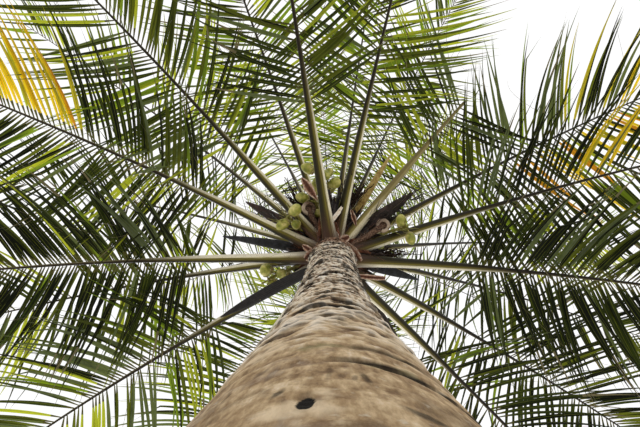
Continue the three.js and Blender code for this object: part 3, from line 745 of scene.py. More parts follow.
# Fronds whose cream edge, with the painted light and shade across the stalk, is broader or narrower than on
# the others, as a share of the width
CREAM_SHIFTS = {0: -0.07, 8: -0.04, 13: -0.05, 7: -0.06, 11: 0.28, 1: 0.03, 2: 0.03}


def frond_shape(age):
    youth = age / YOUNGEST
    return {
        "age": age,
        "youth": youth,
        "azimuth": FROND_AZIMUTHS[age],
        "rise": leaf_rise(age),
        "droop": mix(OLD_DROOP, YOUNG_DROOP, youth**2),
        "length": FROND_LENGTH * (1 - YOUNG_SHORTFALL * youth**3),
        "base": LOWEST_BASE + BASE_STEP * age,
        "reach": BROKEN_SHARE if age == BROKEN_FROND else 1.0,
        "roll": ROLL * math.sin(ROLL_STEP * age),
    }


def rib_path(azimuth, rise, droop, length, base):
    """Walks out from the heart along a rib that turns down as it goes: points, headings and tops."""
    tilt = np.radians(rise - droop * (np.arange(PATH_STEPS + 1) / PATH_STEPS) ** DROOP_POWER)
    outward, up = direction(azimuth), np.array([0.0, 0.0, 1.0])
    side = direction(azimuth + 90)
    along = np.cos(tilt)[:, None] * outward + np.sin(tilt)[:, None] * up
    start = stem_centre(TRUNK_HEIGHT + base) + outward * (heart_radius(base / HEART_HEIGHT) - ROOT_DEPTH)
    steps = np.cumsum(along[:-1] * length / PATH_STEPS, axis=0)
    points = np.concatenate([start[None], start + steps])
    return {"points": points, "along": along, "side": side, "top": np.cross(along, side)}


def path_at(path, share):
    """Points, headings and tops at shares of a path."""
    spot = np.clip(share, 0, 1) * PATH_STEPS
    low = np.minimum(np.floor(spot).astype(int), PATH_STEPS - 1)
    blend = (spot - low)[..., None]
    point = path["points"][low] + (path["points"][low + 1] - path["points"][low]) * blend
    along = unit(path["along"][low] + (path["along"][low + 1] - path["along"][low]) * blend)
    return point, along, np.cross(along, path["side"])


def rib_width(share, youth):
    foot = (FOOT_WIDTH - STALK_WIDTH) * np.exp(-share / FOOT_SHARE)
    slim = mix(1, RIB_SLIMNESS, np.clip((share - 0.20) / 0.16, 0, 1))
    return (foot + mix(STALK_WIDTH, TIP_WIDTH, share**RIB_TAPER_POWER)) * slim * mix(1, YOUNG_STALK, youth)


# Living leaf stalk: satin rind, streaked along its length, with cream edges of its own that are brightened
# with painted light. One flank is painted dark olive as shade and the other yellow-olive as light. It is
# brown at the foot, darkened there with painted shade, and along the rib it is painted dark brown as shade.
rind, place = new_material("leaf_stalk_rind")
out, flank, faded = [
    add_node(rind, "Attribute", out="Fac", attribute_name=name) for name in ("out", "flank", "faded")
]
grain = add_node(rind, "Attribute", out="Vector", attribute_name="grain")
# Streaks 8 mm wide and 300 mm long
streak = add_node(
    rind, "TexNoise", {"Vector": grain, "Scale": 1.0, "Detail": 5.0, "Roughness": 0.6, "Distortion": 0.3}
)
streaked = add_node(rind, "Math", {0: streak, 1: 0.22, 2: flank}, operation="MULTIPLY_ADD")
across = add_node(rind, "Math", {0: streaked, 1: 0.11}, operation="SUBTRACT")
# Across the stalk: cream edges with painted light, painted shade on the dark flank and painted light on the
# yellow-olive flank
petiole = add_node(
    rind, "ValToRGB", {0: across},
    [(0.0, "#c9bf92"), (1.0, "#fdf6e2"), (0.03, "#6a622f"), (0.09, "#1c1807"), (0.40, "#25210a"),
     (0.56, "#463f12"), (0.70, "#7f752a"), (0.77, "#5f5728"), (0.82, "#c4ba88"), (0.87, "#f7efd2")],
)
# Along the rib, painted shade makes it dark brown
rib = add_node(
    rind, "ValToRGB", {0: across},
    [(0.0, "#6f6546"), (1.0, "#8f8560"), (0.06, "#2a2114"), (0.35, "#17110a"), (0.62, "#241b0f"),
     (0.88, "#3f3520")],
)
far_out = add_node(rind, "MapRange", {"Value": out, "From Min": 0.20, "From Max": 0.33})
near_foot = add_node(rind, "Math", {0: streak, 1: 0.05, 2: out}, operation="MULTIPLY_ADD")
foot_share = add_node(
    rind, "MapRange", {"Value": near_foot, "From Min": 0.085, "From Max": 0.035, "To Max": 0.9}
)
# Rusty scurf that speckles the rind, 6 mm across
scurf = add_node(rind, "TexNoise", {"Vector": place, "Scale": 140.0, "Detail": 3.0})
scurf_share = add_node(rind, "MapRange", {"Value": scurf, "From Min": 0.58, "From Max": 0.70, "To Max": 0.45})
# The rib's colour far out, one stalk that has turned straw yellow all over, the brown foot, darker with
# painted shade, and the scurf
tone = petiole
for share, tint in (
    (far_out, rib),
    (faded, colour("#c2b06a")),
    (foot_share, colour("#4b2f22")),
    (scurf_share, colour("#4f341d")),
):
    tone = add_node(rind, "Mix", {0: share, 6: tone, 7: tint}, out=2, data_type="RGBA")
bump = add_node(rind, "Bump", {"Height": scurf, "Strength": 0.35, "Distance": 0.002})
finish_material(
    rind, {"Base Color": tone, "Normal": bump, "Roughness": 0.48, "IOR": 1.45, "Specular IOR Level": 0.3}
)

stalk_form = cylinder_in_rows("stalk_form", STALK_SIDES, 0.5, 1, STALK_CUTS)
section = points_of(stalk_form)
over = np.where(section[:, 1] > 0, -STALK_HOLLOW, 2.0) * section[:, 1]
rim_corner = np.abs(section[:, 1]) < 1e-4
section[:, 1] = STALK_EDGE_HEIGHT + np.where(rim_corner, 0.0, over)
move_points(stalk_form, section)
mark(stalk_form, "out", section[:, 2])
mark(stalk_form, "flank", section[:, 0] + 0.5)


def copy_form(form, name):
    piece = form.copy()
    piece.data = form.data.copy()
    piece.name = piece.data.name = name
    bpy.context.collection.objects.link(piece)
    return piece


def bend_stalk(shape, path):
    """Copies the straight stalk and bends the copy along its rib."""
    stalk = copy_form(stalk_form, f"frond_{shape['age'] + 1:02d}_stalk")
    straight = points_of(stalk)
    share = straight[:, 2] * shape["reach"]
    if shape["reach"] < 1:
        splinter = 0.03 * noise_at(straight, 0.2, 0.2, 1.0) * np.clip((straight[:, 2] - 0.97) / 0.03, 0, 1)
        share = share + splinter
    point, _, top = path_at(path, share)
    width = rib_width(share, shape["youth"])
    depth = np.maximum(width * STALK_DEPTH / STALK_WIDTH, 0.6 * TIP_WIDTH)
    wide, tall = straight[:, 0] * width, straight[:, 1] * depth
    roll = math.radians(STALK_ROLL)
    bent = point + path["side"] * (wide * math.cos(roll) + tall * math.sin(roll))[:, None]
    bent = bent + top * (tall * math.cos(roll) - wide * math.sin(roll))[:, None]
    move_points(stalk, bent)
    grain = np.stack([straight[:, 0] * 10, straight[:, 1] * 10, share * 15 + 7.3 * shape["age"]], axis=-1)
    stalk.data.attributes.new("grain", "FLOAT_VECTOR", "POINT")
    stalk.data.attributes["grain"].data.foreach_set("vector", grain.ravel())
    mark(stalk, "faded", np.full(len(straight), FADING if shape["age"] == BROKEN_FROND else 0.0))
    flank = straight[:, 0] + 0.5 + CREAM_SHIFTS.get(shape["age"], 0)
    stalk.data.attributes["flank"].data.foreach_set("value", flank)
    return stalk


# Leaflets: long strap blades folded along a pale midrib, rooted along both sides of the rib, drooping to a
# point. They grow by the solids' rule, in a real number. They hang together in small groups with gaps
# between, some are kinked or dry at the tip, and loose dry threads hang from the rib.
LEAFLET_PAIRS = 84
YOUNG_PAIRS = 0.7  # of the pairs, on the youngest frond, whose leaflets are still partly folded together
LAST_LEAFLET = 0.985
LEAFLET_LENGTH = 1.25
LEAFLET_BREADTH = 0.042
YOUNG_BREADTH = 0.7
LEAFLET_STEPS = 14
MIDRIB_SHARE = 0.08  # of the breadth
BASE_SPREAD, TIP_SPREAD = 74, 30
OLD_LIFT, YOUNG_LIFT = -8, 26
OLD_SAG, YOUNG_SAG, SAG_POWER = 1.0, 0.45, 1.3
FOLD_AT_FOOT, FOLD_AT_TIP = 24, 12
BLADE_TILT = 12  # degrees that a blade is turned about its own length at the foot
GROUP_SIZES = (3, 8)
GATHER = 1.7  # degrees from one leaflet to the next that brings the tips of a group together
KINKED = 0.10  # share of the leaflets
DRY_TIPS = 0.28
THREADS = 16  # on the oldest frond
THREAD_RADII, THREAD_STEPS = (0.0018, 0.0007), 12
SPARE_ROOM = 0.17  # how far a leaflet may hang out past the box round the solids
# Tints by place: frond, hand, first and last share of the rib, share of its leaflets that have turned
TURNED = [
    (5, 1, 0.34, 1.0, 0.85),
    (5, -1, 0.60, 1.0, 0.15),
    (7, 1, 0.70, 1.0, 0.12),
    (6, -1, 0.30, 1.0, 0.26),
    (12, 1, 0.25, 0.9, 0.42),
    (12, -1, 0.4, 0.9, 0.15),
    (1, -1, 0.4, 1.0, 0.25),
]
# How deep in the shade of the others a frond hangs, from 0 to 1, which makes its green darker as painted
# shade; below 0 a frond hangs in more light and its green is painted lighter
SHADED = {
    0: -0.6, 1: 0.75, 2: 1.0, 3: 1.0, 4: -0.5, 5: 0.5, 6: 0.7, 7: -0.6, 8: -0.7, 9: 1.0, 10: -0.2, 12: 0.5,
    13: -0.3, 15: 0.8, 16: 0.8, 17: -0.3, 18: 1.0, 20: 0.5, 22: -0.4, 24: -0.8, 25: 0.5, 26: -0.5,
}
# Fronds with more leaflets than the rest, as a factor
FULLER = {1: 1.2, 2: 1.3, 5: 1.1, 4: 1.1}
# Fronds that have lost leaflets, with the share they have lost by the stalk and by the tip
THINNED = {
    0: (0.25, 0.25), 3: (0.55, 0.0), 4: (0.05, 0.30), 5: (0.0, 0.1), 6: (0.0, 0.15), 7: (0.12, 0.12),
    8: (0.25, 0.25), 9: (0.60, 0.0), 10: (0.20, 0.45), 14: (0.0, 0.10), 15: (0.65, 0.65), 16: (0.40, 0.40),
    17: (0.25, 0.40), 18: (0.35, 0.40), 19: (0.3, 0.3), 20: (0.40, 0.40), 24: (0.40, 0.50), 25: (0.75, 0.75),
    26: (0.25, 0.50), 28: (0.3, 0.3),
}
# Each leaf colour: blade, light that comes through, share of the leaflets on the oldest and on the youngest
# frond, and how much of the light comes through. The black green is painted shade and the grey green a
# painted sheen of the sky; the oldest, lowest fronds get more of the dark greens, partly for their age and
# partly as painted shade.
LEAF_COLOURS = {
    "leaflet_black_green_painted_shade": ("#0f1406", "#20270b", 0.30, 0.02, 0.30),
    "leaflet_dark_olive": ("#20280c", "#434f12", 0.29, 0.10, 0.34),
    "leaflet_olive": ("#373f14", "#757d19", 0.17, 0.22, 0.40),
    "leaflet_grey_green_painted_sheen": ("#626d4e", "#6b7739", 0.15, 0.08, 0.36),
    "leaflet_fresh_green": ("#4b6020", "#9ab42b", 0.05, 0.32, 0.50),
    "leaflet_yellow_green": ("#7b8428", "#c8d034", 0.04, 0.30, 0.52),
}
SHADE_SHARES = (0.57, 0.26, 0.07, 0.07, 0.02, 0.01)  # of these colours, deep in the shade
TURNED_COLOURS = {
    "leaflet_yellow": ("#dcae1c", "#ffe02a", 0.48, 0, 0.5),
    "leaflet_orange": ("#b87a1e", "#eea522", 0.14, 0, 0.5),
    "leaflet_half_turned": ("#98902a", "#d8c62c", 0.38, 0, 0.5),
}


def leaf_material(name, blade, glow, clearness):
    """Living leaf: a waxy, satin skin that lets some light through, in patches lighter and darker."""
    leaf, place = new_material(name)
    # Patches 120 mm across, broken up finely
    patch = add_node(leaf, "TexNoise", {"Vector": place, "Scale": 8.0, "Detail": 6.0, "Roughness": 0.72})
    shade = add_node(
        leaf, "MapRange", {"Value": patch, "From Min": 0.3, "From Max": 0.7, "To Min": 0.5, "To Max": 1.55}
    )
    tone = add_node(leaf, "VectorMath", {"Scale": shade, 0: colour(blade)[:3]}, operation="SCALE")
    skin = add_node(
        leaf, "BsdfPrincipled",
        {"Base Color": tone, "Roughness": 0.46, "IOR": 1.4, "Specular IOR Level": 0.26},
    )
    through = add_node(leaf, "BsdfTranslucent", {"Color": colour(glow)})
    shader = add_node(leaf, "MixShader", {0: clearness, 1: skin, 2: through})
    add_node(leaf, "OutputMaterial", {"Surface": shader})
    return leaf


leaf_materials = [
    leaf_material(name, *look[:2], look[4]) for name, look in {**LEAF_COLOURS, **TURNED_COLOURS}.items()
]
MIDRIB_LOOK, FOOT_LOOK, DRY_LOOK = range(len(leaf_materials), len(leaf_materials) + 3)
leaf_materials.append(leaf_material("leaflet_midrib", "#565a26", "#80852f", 0.36))
leaf_materials.append(leaf_material("leaflet_foot", "#45421f", "#62602a", 0.36))
leaf_materials.append(leaf_material("leaflet_dry_tip", "#746a4c", "#8d8462", 0.36))


def leaflet_share(place):
    """Share of the full leaflet length, from place 0 at the rib's first leaflet to 1 at its last."""
    return 0.6 + 1.65 * place - 2.4 * place**2 + 0.5 * place**3


def turned_about(axis, vector, degrees):
    """Turns a vector that is square to an axis about it."""
    turn = np.radians(degrees)[..., None]
    return vector * np.cos(turn) + np.cross(axis, vector) * np.sin(turn)


def group_of(count, random):
    """The group that each leaflet of one side hangs in, and its place from the middle of the group."""
    sizes = random.integers(*GROUP_SIZES, count)
    group = np.repeat(np.arange(count), sizes)[:count]
    number = np.arange(count)
    middle = np.array([number[group == g].mean() for g in group])
    return group, number - middle


def dealt(shares, count, random):
    """Numbers dealt out by their shares."""
    return np.searchsorted(np.cumsum(shares), random.random(count) * sum(shares))


def lay_blades(spine, across, over, half, fold):
    """Points and faces of blades folded down along a flat midrib, from their centre lines."""
    middle = MIDRIB_SHARE * half
    offsets = [(-half, fold), (-middle, 0 * fold), (middle, 0 * fold), (half, fold)]
    columns = [
        spine + across * (x * np.cos(a))[..., None] - over * (np.abs(x) * np.sin(a))[..., None]
        for x, a in offsets
    ]
    rows = spine.shape[1]
    one = grid_faces(rows, len(offsets))
    faces = one[None] + (np.arange(len(spine)) * rows * len(offsets))[:, None, None]
    return np.stack(columns, axis=2).reshape(-1, 3), faces.reshape(-1, 4)


def leaflet_looks(shape, place, hand, group, random):
    """Each face's material: green by the frond's age and by group, turned by place, or midrib or dry tip."""
    count = len(place)
    youth = shape["youth"]
    shares = np.array([mix(look[2], look[3], youth) for look in LEAF_COLOURS.values()])
    shares = np.maximum(mix(shares, np.array(SHADE_SHARES), SHADED.get(shape["age"], 0)), 0.01)
    shared = dealt(shares, 2 * count, random)[group + count * (hand > 0)]
    look = np.where(random.random(count) < 0.5, shared, dealt(shares, count, random))
    for age, side_hand, first, last, turned_share in TURNED:
        here = (shape["age"] == age) & (hand == side_hand) & (place >= first) & (place <= last)
        chosen = here & (random.random(count) < turned_share)
        turned = dealt([look[2] for look in TURNED_COLOURS.values()], count, random)
        look = np.where(chosen, len(LEAF_COLOURS) + turned, look)
    looks = np.repeat(look[:, None], 3 * LEAFLET_STEPS, axis=1)
    row, column = np.divmod(np.arange(3 * LEAFLET_STEPS), 3)
    looks[:, column == 1] = MIDRIB_LOOK
    looks[:, row == 0] = FOOT_LOOK
    dry_rows = np.where(random.random(count) < DRY_TIPS * (1 - 0.7 * youth), random.integers(2, 6, count), 0)
    looks[row[None, :] >= LEAFLET_STEPS - dry_rows[:, None]] = DRY_LOOK
    return looks.ravel()


def grow_leaflets(shape, path):
    """All leaflets of one frond, with its loose threads, as one piece."""
    random = np.random.default_rng(101 + shape["age"])
    youth = shape["youth"]
    pairs = round(LEAFLET_PAIRS * mix(1, YOUNG_PAIRS, youth) * FULLER.get(shape["age"], 1))
    groups = [group_of(pairs, random) for _ in (-1, 1)]
    group = np.concatenate([groups[0][0], groups[1][0]])
    in_group = np.concatenate([groups[0][1], groups[1][1]])
    hand = np.repeat([-1.0, 1.0], pairs)
    place = (np.tile(np.arange(pairs), 2) + 0.5 * (hand > 0) + random.uniform(-0.3, 0.3, 2 * pairs)) / pairs
    place = np.clip(place, 0, 1)
    share = mix(PETIOLE_LENGTH / shape["length"], LAST_LEAFLET, place)
    lost = mix(*THINNED.get(shape["age"], (0, 0)), np.clip(2 * place, 0, 1))
    kept = (share <= shape["reach"] - 0.01) & (random.random(2 * pairs) >= lost)
    group, in_group, hand, place, share = (values[kept] for values in (group, in_group, hand, place, share))
    count = len(place)

    def by_group(spread_out):
        """One chance number for each group."""
        return random.normal(0, spread_out, 2 * pairs)[group + pairs * (hand > 0)]

    point, along, top = path_at(path, share)
    roll = np.radians(shape["roll"] * place)[:, None]
    out = path["side"] * np.cos(roll) + top * np.sin(roll)
    gather = GATHER * random.uniform(0.2, 1.0, 2 * pairs)[group + pairs * (hand > 0)] * in_group
    spread = mix(BASE_SPREAD, TIP_SPREAD, place) + gather + by_group(2.5) + random.normal(0, 1.6, count)
    spread = np.radians(spread)[:, None]
    lift = np.radians(mix(OLD_LIFT, YOUNG_LIFT, youth) + by_group(6) + random.normal(0, 3, count))[:, None]
    start = along * np.cos(spread) + out * hand[:, None] * np.sin(spread) * np.cos(lift)
    start = start + top * np.sin(spread) * np.sin(lift)
    length = LEAFLET_LENGTH * leaflet_share(place) * random.uniform(0.84, 1.04, count)
    slack = np.clip(1 + by_group(0.18) + random.normal(0, 0.10, count), 0.4, 1.7)
    sag = mix(OLD_SAG, YOUNG_SAG, youth) * slack
    step = ((np.arange(LEAFLET_STEPS) + 0.5) / LEAFLET_STEPS)[None, :]
    kink = np.where(random.random(count) < KINKED, random.uniform(0.8, 2.2, count), 0)[:, None]
    pull = sag[:, None] * step**SAG_POWER + kink * (step > random.uniform(0.4, 0.85, count)[:, None])
    bow = (by_group(0.12) + random.normal(0, 0.07, count))[:, None] * step
    down = np.array([0.0, 0.0, -1.0])
    heading = unit(start[:, None, :] + bow[..., None] * along[:, None, :] + pull[..., None] * down)
    foot = point + out * (hand * 0.42 * rib_width(share, youth))[:, None]
    strides = np.cumsum(heading * (length / LEAFLET_STEPS)[:, None, None], axis=1)
    far = strides[:, -1]
    room = np.where(far > 0, np.array(cad_high) + SPARE_ROOM - foot, foot - np.array(cad_low) + SPARE_ROOM)
    strides *= np.clip((room / np.maximum(np.abs(far), 1e-3)).min(axis=1), 0.15, 1)[:, None, None]
    spine = np.concatenate([foot[:, None, :], foot[:, None, :] + strides], axis=1)
    heading = np.concatenate([heading[:, :1], heading], axis=1)
    across = along[:, None, :] - heading * np.sum(along[:, None, :] * heading, axis=-1)[..., None]
    across = unit(across) * hand[:, None, None]
    t = np.linspace(0, 1, LEAFLET_STEPS + 1)[None, :]
    twist = hand[:, None] * BLADE_TILT * (1 - t) + (by_group(7) + random.normal(0, 6, count))[:, None]
    twist = twist + random.normal(0, 20, count)[:, None] * t**1.5
    across = turned_about(heading, across, twist)
    over = np.cross(heading, across)
    over = over * np.where(over[..., 2:] < 0, -1.0, 1.0)
    breadth = LEAFLET_BREADTH * mix(1, YOUNG_BREADTH, youth) * mix(1, leaflet_share(place), 0.45)
    swell = 0.24 + 0.76 * np.sin(np.clip(t / 0.32, 0, 1) * math.pi / 2)
    half = (breadth * random.uniform(0.8, 1.15, count))[:, None] / 2 * swell * (1 - t**1.8) + 0.0006
    fold = np.radians(mix(FOLD_AT_FOOT, FOLD_AT_TIP, t))
    blades = lay_blades(spine, across, over, half, fold)
    looks = leaflet_looks(shape, place, hand, group, random)
    threads = []
    for _ in range(round(THREADS * (1 - 0.8 * youth))):
        hung = random.choice(np.flatnonzero(place < 0.7))
        begin = spine[hung, random.integers(0, LEAFLET_STEPS - 4)]
        lean = unit(heading[hung, 3] + random.normal(0, 0.5, 3))
        threads.append(tube(curly_spine(begin, lean, random), np.linspace(*THREAD_RADII, THREAD_STEPS)))
    points, faces = join_parts([blades, *threads])
    looks = np.concatenate([looks, np.full(len(faces) - len(looks), DRY_LOOK)])
    piece = piece_from(f"frond_{shape['age'] + 1:02d}_leaflets", points, faces, looks)
    for leaf in leaf_materials:
        piece.data.materials.append(leaf)
    return piece


def curly_spine(start, heading, random):
    """A loose dry thread that curls as it hangs."""
    length = random.uniform(0.25, 0.75)
    share = np.linspace(0, 1, THREAD_STEPS)[:, None]
    curl = random.normal(0, 0.12, 3) * np.sin(share * random.uniform(2, 6)) * share
    return start + heading * length * share + length * (curl * 1.5 + np.array([0, 0, -0.45]) * share**2)


for age in range(len(FROND_AZIMUTHS)):
    shape = frond_shape(age)
    path = rib_path(shape["azimuth"], shape["rise"], shape["droop"], shape["length"], shape["base"])
    node_name = f"frond_{age + 1:02d}"
    stalk = bend_stalk(shape, path)
    only(stalk)
    bpy.ops.object.shade_smooth_by_angle(angle=math.radians(50))
    finish_piece(stalk, rind, "frond", node_name)
    finish_piece(grow_leaflets(shape, path), None, "frond", node_name)
bpy.data.objects.remove(stalk_form)


# Spear
# The youngest leaf, still shut: a tall rod of leaflets folded flat on each other, pale yellow-green.
# A cylinder cut into rows and drawn up to a point, with a pleat for each folded leaflet.
SPEAR_AZIMUTH, SPEAR_RISE, SPEAR_DROOP, SPEAR_LENGTH = 20, 86, 6, 1.9
SPEAR_RADII = ([0, 0.35, 0.75, 1], [0.026, 0.030, 0.016, 0.006])
SPEAR_PLEATS = 9
SPEAR_CUTS = (60,)
SPEAR_PLEAT_DEPTH = 0.12  # of the radius


def mottled_material(name, scale, detail, tones, surface, stretch=(1, 1, 1), bump=0):
    """A material whose tone follows one noise, which also roughens it where it has a bump."""
    made, place = new_material(name)
    place = add_node(made, "Mapping", {"Vector": place, "Scale": stretch})
    pattern = add_node(made, "TexNoise", {"Vector": place, "Scale": scale, "Detail": detail})
    inputs = {"Base Color": add_node(made, "ValToRGB", {0: pattern}, tones), **surface}
    if bump > 0:
        inputs["Normal"] = add_node(made, "Bump", {"Height": pattern, "Strength": bump, "Distance": 0.002})
    finish_material(made, inputs)
    return made


# Unopened leaf: smooth, waxy and pale, with streaks 8 mm wide and 300 mm long.
shut_leaf = mottled_material(
    "unopened_leaf", 1.0, 3.0, [(0.32, "#6f7d2c"), (0.68, "#d3cf7a"), (0.5, "#a3ab48")],
    {"Roughness": 0.35, "IOR": 1.45}, stretch=(120, 120, 3),
)

spear = cylinder_in_rows("spear_leaf", 4 * SPEAR_PLEATS, 1, 1, SPEAR_CUTS)
straight = points_of(spear)
share = straight[:, 2]
path = rib_path(SPEAR_AZIMUTH, SPEAR_RISE, SPEAR_DROOP, SPEAR_LENGTH, HEART_HEIGHT + 0.0003)
foot = stem_centre(TRUNK_HEIGHT + HEART_HEIGHT) - path["points"][0]
point, _, _ = path_at(path, share)
turn = np.arctan2(straight[:, 1], straight[:, 0])
pleat = 1 - SPEAR_PLEAT_DEPTH * (0.5 + 0.5 * np.cos(SPEAR_PLEATS * turn + 6 * share))
wide = np.interp(share, *SPEAR_RADII) * pleat * np.hypot(straight[:, 0], straight[:, 1])
move_points(spear, point + foot + round_axis(turn, wide))
bpy.ops.object.shade_smooth_by_angle(angle=math.radians(40))
finish_piece(spear, shut_leaf, "frond", "spear")


# Nut bunches
# Each is a bent, green, woody stalk with short twigs, and round it young nuts in smooth yellow-green husk.
# A nut is a ball drawn out and flattened on three sides, with a cap of overlapping scales where it hangs.
BUNCHES = [
    {"azimuth": -98, "length": 0.60, "base": 0.29, "nuts": 11, "left_out": [1],
     "more": [(0.40, 0, 2.3), (0.28, -8, 3.0), (0.36, 215, 2.2), (0.53, 185, 4.6), (0.42, -6, 4.0)]},
    {"azimuth": -20, "length": 0.56, "base": 0.20, "nuts": 6, "left_out": [1, 2, 3]},
    {"azimuth": -140, "length": 0.38, "base": 0.16, "nuts": 6, "left_out": [0, 1, 3]},
    {"azimuth": 159, "length": 0.46, "base": 0.16, "nuts": 6, "left_out": [0]},
    {"azimuth": 69, "length": 0.48, "base": 0.215, "nuts": 5, "left_out": [1]},
]
BUNCH_RISE, BUNCH_DROOP = 44, 95
BUNCH_STALK_RADII = (0.021, 0.010)
FIRST_NUT = 0.5
NUT_RADIUS = 0.038
NUT_SIZES = (0.86, 1.1)  # the smallest and the largest, by the radius
NUT_STRETCH = 1.32
NUT_OUTSETS = (1.75, 2.8)  # nuts in turn close to the stalk and further out
NUT_TWIG_RADIUS = 0.007
NUT_SEGMENTS, NUT_RINGS = 24, 16
GOLDEN_ANGLE = 137.5
SPARE_TWIGS = 16  # thin twigs of each bunch whose nuts have dropped
CAP_SIDES = 18
ROD_SIDES = 14
ROD_CUTS = (30,)
ROD_START = 0.03  # share of its path where a rod comes out of the heart


def seeded(seed):
    """The fixed sequence of numbers from 0 to 1 that the solids use."""
    state = (seed * 2654435761) & 0xFFFFFFFF
    while True:
        state = (state * 1664525 + 1013904223) & 0xFFFFFFFF
        yield state / 2**32


def sprout(path, share, number, lean):
    """The foot and the heading of a twig that stands out round a stalk."""
    point, along, top = path_at(path, share)
    turn = math.radians(number * GOLDEN_ANGLE)
    out = path["side"] * math.cos(turn) + top * math.sin(turn) + along * lean
    return point, unit(out)


# Young coconut husk: smooth, waxy, yellow-green, paler towards the cap, with faint brown rubs.
husk, place = new_material("young_nut_husk")
# Tone drifts over 50 mm, from nut to nut
drift = add_node(husk, "TexNoise", {"Vector": place, "Scale": 20.0, "Detail": 2.0})
tone = add_node(
    husk, "ValToRGB", {0: drift},
    [(0.32, "#7b8232"), (0.70, "#e9dd92"), (0.47, "#a8a94b"), (0.58, "#cbc56f")],
)
# Rubs and scurf 8 mm across
rub = add_node(husk, "TexNoise", {"Vector": place, "Scale": 110.0, "Detail": 4.0})
rub_share = add_node(husk, "MapRange", {"Value": rub, "From Min": 0.60, "From Max": 0.72, "To Max": 0.55})
rubbed = add_node(husk, "Mix", {0: rub_share, 6: tone, 7: colour("#7a6236")}, out=2, data_type="RGBA")
finish_material(husk, {"Base Color": rubbed, "Roughness": 0.38, "IOR": 1.45})

bpy.ops.object.select_all(action="DESELECT")
bpy.ops.mesh.primitive_uv_sphere_add(segments=NUT_SEGMENTS, ring_count=NUT_RINGS, radius=1)
nut_form = bpy.context.object
ball = points_of(nut_form)
turn = np.arctan2(ball[:, 1], ball[:, 0])
wide = np.hypot(ball[:, 0], ball[:, 1]) * (1 + 0.045 * np.cos(3 * turn)) * (1 - 0.06 * ball[:, 2])
tall = ball[:, 2] * NUT_STRETCH + 0.3 * np.clip(ball[:, 2] - 0.8, 0, 1)
move_points(nut_form, round_axis(turn, wide, tall))
nut_form.data.materials.append(husk)
bpy.ops.object.shade_smooth()

# The cap at the nut's foot is dry, pale and leathery, mottled 11 mm across.
cap = mottled_material(
    "nut_cap_scales", 90.0, 3.0, [(0.38, "#8d7a45"), (0.62, "#d6c98f")], {"Roughness": 0.6}
)
bpy.ops.object.select_all(action="DESELECT")
bpy.ops.mesh.primitive_cone_add(
    vertices=CAP_SIDES, radius1=1, radius2=0.2, depth=1, end_fill_type="NOTHING", location=(0, 0, 0.5)
)
cap_form = bpy.context.object
bpy.ops.object.transform_apply(location=True, rotation=False, scale=False)
cut_rows(cap_form, (3,))
cone = points_of(cap_form)
turn = np.arctan2(cone[:, 1], cone[:, 0])
share = 1 - cone[:, 2]
wide = (0.12 + 0.70 * np.sin(share * math.pi / 2)) * (1 + 0.10 * share * np.cos(3 * turn))
tall = -NUT_STRETCH * (1.07 - 0.36 * share**1.8 * (1 + 0.3 * np.cos(3 * turn)))
move_points(cap_form, round_axis(turn, wide, tall))
cap_form.data.materials.append(cap)
apply_modifier(cap_form, "SOLIDIFY", thickness=0.05, offset=1)
bpy.ops.object.shade_smooth()
nut_form.select_set(True)
bpy.context.view_layer.objects.active = nut_form
bpy.ops.object.join()

# A straight rod with fine rows, to bend into any round stalk
rod_form = cylinder_in_rows("rod_form", ROD_SIDES, 1, 1, ROD_CUTS)


def bend_rod(name, path, last, radii, unevenness):
    """Copies the straight rod and bends it along a path, with radii spread evenly over its length."""
    rod = copy_form(rod_form, name)
    straight = points_of(rod)
    share = mix(ROD_START, last, straight[:, 2])
    point, _, top = path_at(path, share)
    radius = np.interp(straight[:, 2], np.linspace(0, 1, len(radii)), radii)
    radius = radius * (1 + unevenness * noise_at(straight, 0.8, 0.8, 0.12))
    flat = path["side"] * (straight[:, 0] * radius)[:, None] + top * (straight[:, 1] * radius)[:, None]
    move_points(rod, point + flat)
    return rod


def join_pieces(name, pieces):
    """Joins pieces into the first of them."""
    bpy.ops.object.select_all(action="DESELECT")
    for piece in pieces:
        piece.select_set(True)
    bpy.context.view_layer.objects.active = pieces[0]
    if len(pieces) > 1:
        bpy.ops.object.join()
    pieces[0].name = pieces[0].data.name = name
    return pieces[0]


def set_on(form_points, centre, axis, size):
    """Turns points that stand along +Z onto an axis, and sets them down at their centre and size."""
    helper = [0.0, 0.0, 1.0] if abs(axis[2]) < 0.95 else [1.0, 0.0, 0.0]
    side = unit(np.cross(helper, axis))
    return centre + size * (form_points @ np.stack([side, np.cross(axis, side), axis]))


def wavy_spine(start, heading, length, steps, random, waver, sag):
    """A twig's centre line: nearly straight, a little crooked at each joint, and bowed by its weight."""
    share = np.linspace(0, 1, steps)[:, None]
    crooked = waver * random.standard_normal((steps, 3)) * np.minimum(share * 4, 1)
    return start + heading * length * share + crooked + np.array([0, 0, -sag]) * length * share**2


# Green bunch stalk: the same rind as the leaf stalks, but yellower, rough and mottled 20 mm across.
bunch_rind = mottled_material(
    "green_fruit_stalk", 45.0, 4.0, [(0.34, "#5d5426"), (0.66, "#b3ab5a"), (0.5, "#8a8738")],
    {"Roughness": 0.5}, bump=0.4,
)

